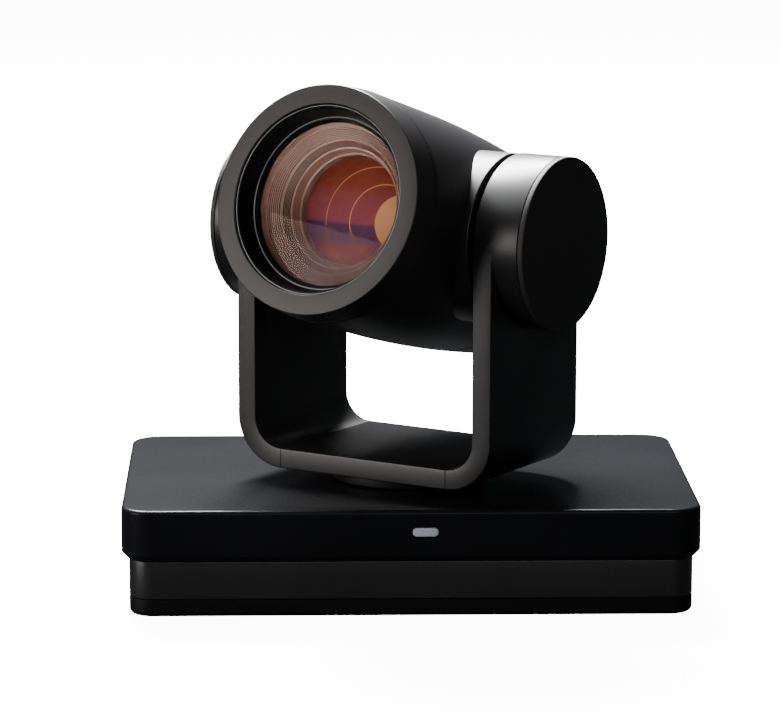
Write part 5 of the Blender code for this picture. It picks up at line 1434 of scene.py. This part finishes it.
element_line = np.concatenate(
    [
        dome(CELL_RADIUS - 0.0002, CELL_FRONT - 0.0030, 0.0026),
        [[CELL_RADIUS - 0.0002, CELL_FRONT - 0.0044], [0, CELL_FRONT - 0.0044]],
    ]
)
mesh = turned("second_element", element_line, 128, False, HEAD)
piece("second_element", mesh, "head", "coated_glass", [COATING_PAINTED_REFLECTIONS])

# --- Circuit boards ---
# Glass-fibre boards under green solder mask, with fine copper traces that show through it.

BOARDS = ("main_board", "front_board", "tilt_sensor_board", "image_sensor_board", "processor_board")
MASK, tree, shader = shader_of("solder_mask")
where = tree.nodes.new("ShaderNodeTexCoord")
tracks = tree.nodes.new("ShaderNodeTexBrick")
tracks.inputs["Scale"].default_value = 260
tracks.inputs["Mortar Size"].default_value = 0.03
tracks.inputs["Color1"].default_value = (0.010, 0.075, 0.028, 1)
tracks.inputs["Color2"].default_value = (0.008, 0.062, 0.024, 1)
tracks.inputs["Mortar"].default_value = (0.030, 0.130, 0.050, 1)
tree.links.new(where.outputs["Object"], tracks.inputs["Vector"])
tree.links.new(tracks.outputs["Color"], shader.inputs["Base Color"])
tree.links.new(ranged(tree, noise(tree, 300), 0.22, 0.34), shader.inputs["Roughness"])
bumped(tree, shader, tracks.outputs["Fac"], 2e-5)


def dressed(names, material):
    """Gives CAD nodes that are kept as they are a material in every slot."""
    for name in names:
        for slot in frame["nodes"][name].material_slots:
            slot.material = material


dressed(BOARDS, MASK)

# --- Motors, bearings and bracket ---
# Steel cans and rings, ground and lightly oiled, on a folded and plated bracket.

GROUND_STEEL = steel_look("ground_steel", (0.50, 0.50, 0.51), 0.22, 0.36, (1, 1, 12), 380)
MOTORS = ("pan_motor", "tilt_motor", "zoom_motor", "focus_motor")
BEARINGS = ("pan_bearing", "tilt_bearing_left", "tilt_bearing_right")
dressed((*MOTORS, *BEARINGS, "pan_motor_bracket"), GROUND_STEEL)

# --- Pulleys, belts and pedestal ---
# Turned aluminium pulleys and the cast pedestal of the pan bearing, with moulded rubber timing belts.

TURNED_ALUMINIUM = steel_look("turned_aluminium", (0.68, 0.69, 0.70), 0.24, 0.38, (1, 1, 16), 420)
PULLEYS = ("pan_pulley", "pan_motor_pulley", "tilt_pulley", "tilt_motor_pulley")
dressed((*PULLEYS, "pan_pedestal"), TURNED_ALUMINIUM)
BELT_RUBBER, tree, shader = shader_of("belt_rubber")
teeth = tree.nodes.new("ShaderNodeTexWave")
where = tree.nodes.new("ShaderNodeTexCoord")
teeth.inputs["Scale"].default_value = 160
tree.links.new(where.outputs["Object"], teeth.inputs["Vector"])
toothed = two_tone(tree, teeth.outputs["Fac"], (0.008, 0.008, 0.008), (0.018, 0.018, 0.018))
tree.links.new(toothed, shader.inputs["Base Color"])
tree.links.new(ranged(tree, noise(tree, 500), 0.6, 0.8), shader.inputs["Roughness"])
bumped(tree, shader, teeth.outputs["Fac"], 2e-4)
dressed(("pan_belt", "tilt_belt"), BELT_RUBBER)

# --- Lens groups and iris ---
# The moving groups of coated glass and the black iris unit between them, inside the barrel.

GROUP_COATING = coated("group_coating", (0.90, 0.95, 0.88), (0.92, 0.97, 0.92), 0.02, 1.5, (0.5, 0.9, 0.6))
dressed(("zoom_group", "focus_group"), GROUP_COATING)
dressed(("iris_unit",), NYLON)

# --- The floor, the light and the camera ---
# A plain pale floor under a white studio sky. Four soft panels give the long highlights: a strong one
# above and behind, a low one at the left, and two weak ones, above and in front.

FLOOR_HALF = 3.0
bpy.ops.mesh.primitive_plane_add(size=2 * FLOOR_HALF)
floor = bpy.context.object
floor.name = "studio_floor"
FLOOR_PALE, tree, shader = shader_of("pale_floor")
speck = noise(tree, 30, 3)
tree.links.new(two_tone(tree, speck, (0.86, 0.86, 0.86), (0.88, 0.88, 0.88)), shader.inputs["Base Color"])
shader.inputs["Roughness"].default_value = 0.9
shader.inputs["Emission Color"].default_value = (1, 1, 1, 1)
shader.inputs["Emission Strength"].default_value = 12.0
floor.data.materials.append(FLOOR_PALE)
floor.visible_glossy = False
floor.visible_diffuse = False

world = bpy.data.worlds.new("studio")
bpy.context.scene.world = world
world.use_nodes = True
tree = world.node_tree
sky = tree.nodes["Background"]
sky.inputs["Color"].default_value = (1, 1, 1, 1)
sky.inputs["Strength"].default_value = 12.0
dim = tree.nodes.new("ShaderNodeBackground")
dim.inputs["Color"].default_value = (0.9, 0.93, 1.0, 1)
dim.inputs["Strength"].default_value = 0.06
rays = tree.nodes.new("ShaderNodeLightPath")
mix = tree.nodes.new("ShaderNodeMixShader")
tree.links.new(rays.outputs["Is Camera Ray"], mix.inputs["Fac"])
tree.links.new(dim.outputs["Background"], mix.inputs[1])
tree.links.new(sky.outputs["Background"], mix.inputs[2])
tree.links.new(mix.outputs["Shader"], tree.nodes["World Output"].inputs["Surface"])


def panel(name, place, target, wide, tall, power, colour=(1, 1, 1)):
    """A rectangular softbox that faces a point."""
    lamp = bpy.data.lights.new(name, "AREA")
    lamp.shape = "RECTANGLE"
    lamp.size = wide
    lamp.size_y = tall
    lamp.energy = power
    lamp.color = colour
    holder = bpy.data.objects.new(name, lamp)
    bpy.context.scene.collection.objects.link(holder)
    away = np.array(place, float) - np.array(target, float)
    away /= np.linalg.norm(away)
    side = np.cross([0, 0, 1.0], away)
    side /= np.linalg.norm(side)
    turn = np.eye(4)
    turn[:3, 0], turn[:3, 1], turn[:3, 2], turn[:3, 3] = side, np.cross(away, side), away, place
    holder.matrix_world = turn.T
    return holder


HEART = (0.0, 0.0, 0.10)
panel("top_back", (-0.28, 1.05, 1.45), HEART, 1.0, 0.6, 300)
panel("left_wall", (-1.25, -0.55, 0.27), HEART, 0.7, 0.5, 13, (1.0, 0.95, 0.92))
panel("up_left", (-0.70, -0.05, 1.35), HEART, 0.9, 0.9, 9)
panel("front_fill", (0.3, -2.0, 0.9), HEART, 1.2, 0.8, 9)

eye = bpy.data.cameras.new("eye")
eye.lens = 182.2
eye.sensor_width = 36.0
camera = bpy.data.objects.new("eye", eye)
bpy.context.scene.collection.objects.link(camera)
camera.location = (-0.05164, -1.53584, 0.36874)
yaw, pitch, roll = math.radians(-1.68), math.radians(79.64), math.radians(0.12)


def turn_about(axis, angle):
    """The 3 x 3 turn about a main axis."""
    a, b = [(1, 2), (2, 0), (0, 1)][axis]
    turn = np.eye(3)
    turn[[a, b], [a, b]] = math.cos(angle)
    turn[a, b], turn[b, a] = -math.sin(angle), math.sin(angle)
    return turn


facing = np.eye(4)
facing[:3, :3] = turn_about(2, yaw) @ turn_about(0, pitch) @ turn_about(2, roll)
facing[:3, 3] = camera.location
camera.matrix_world = facing.T
bpy.context.scene.camera = camera
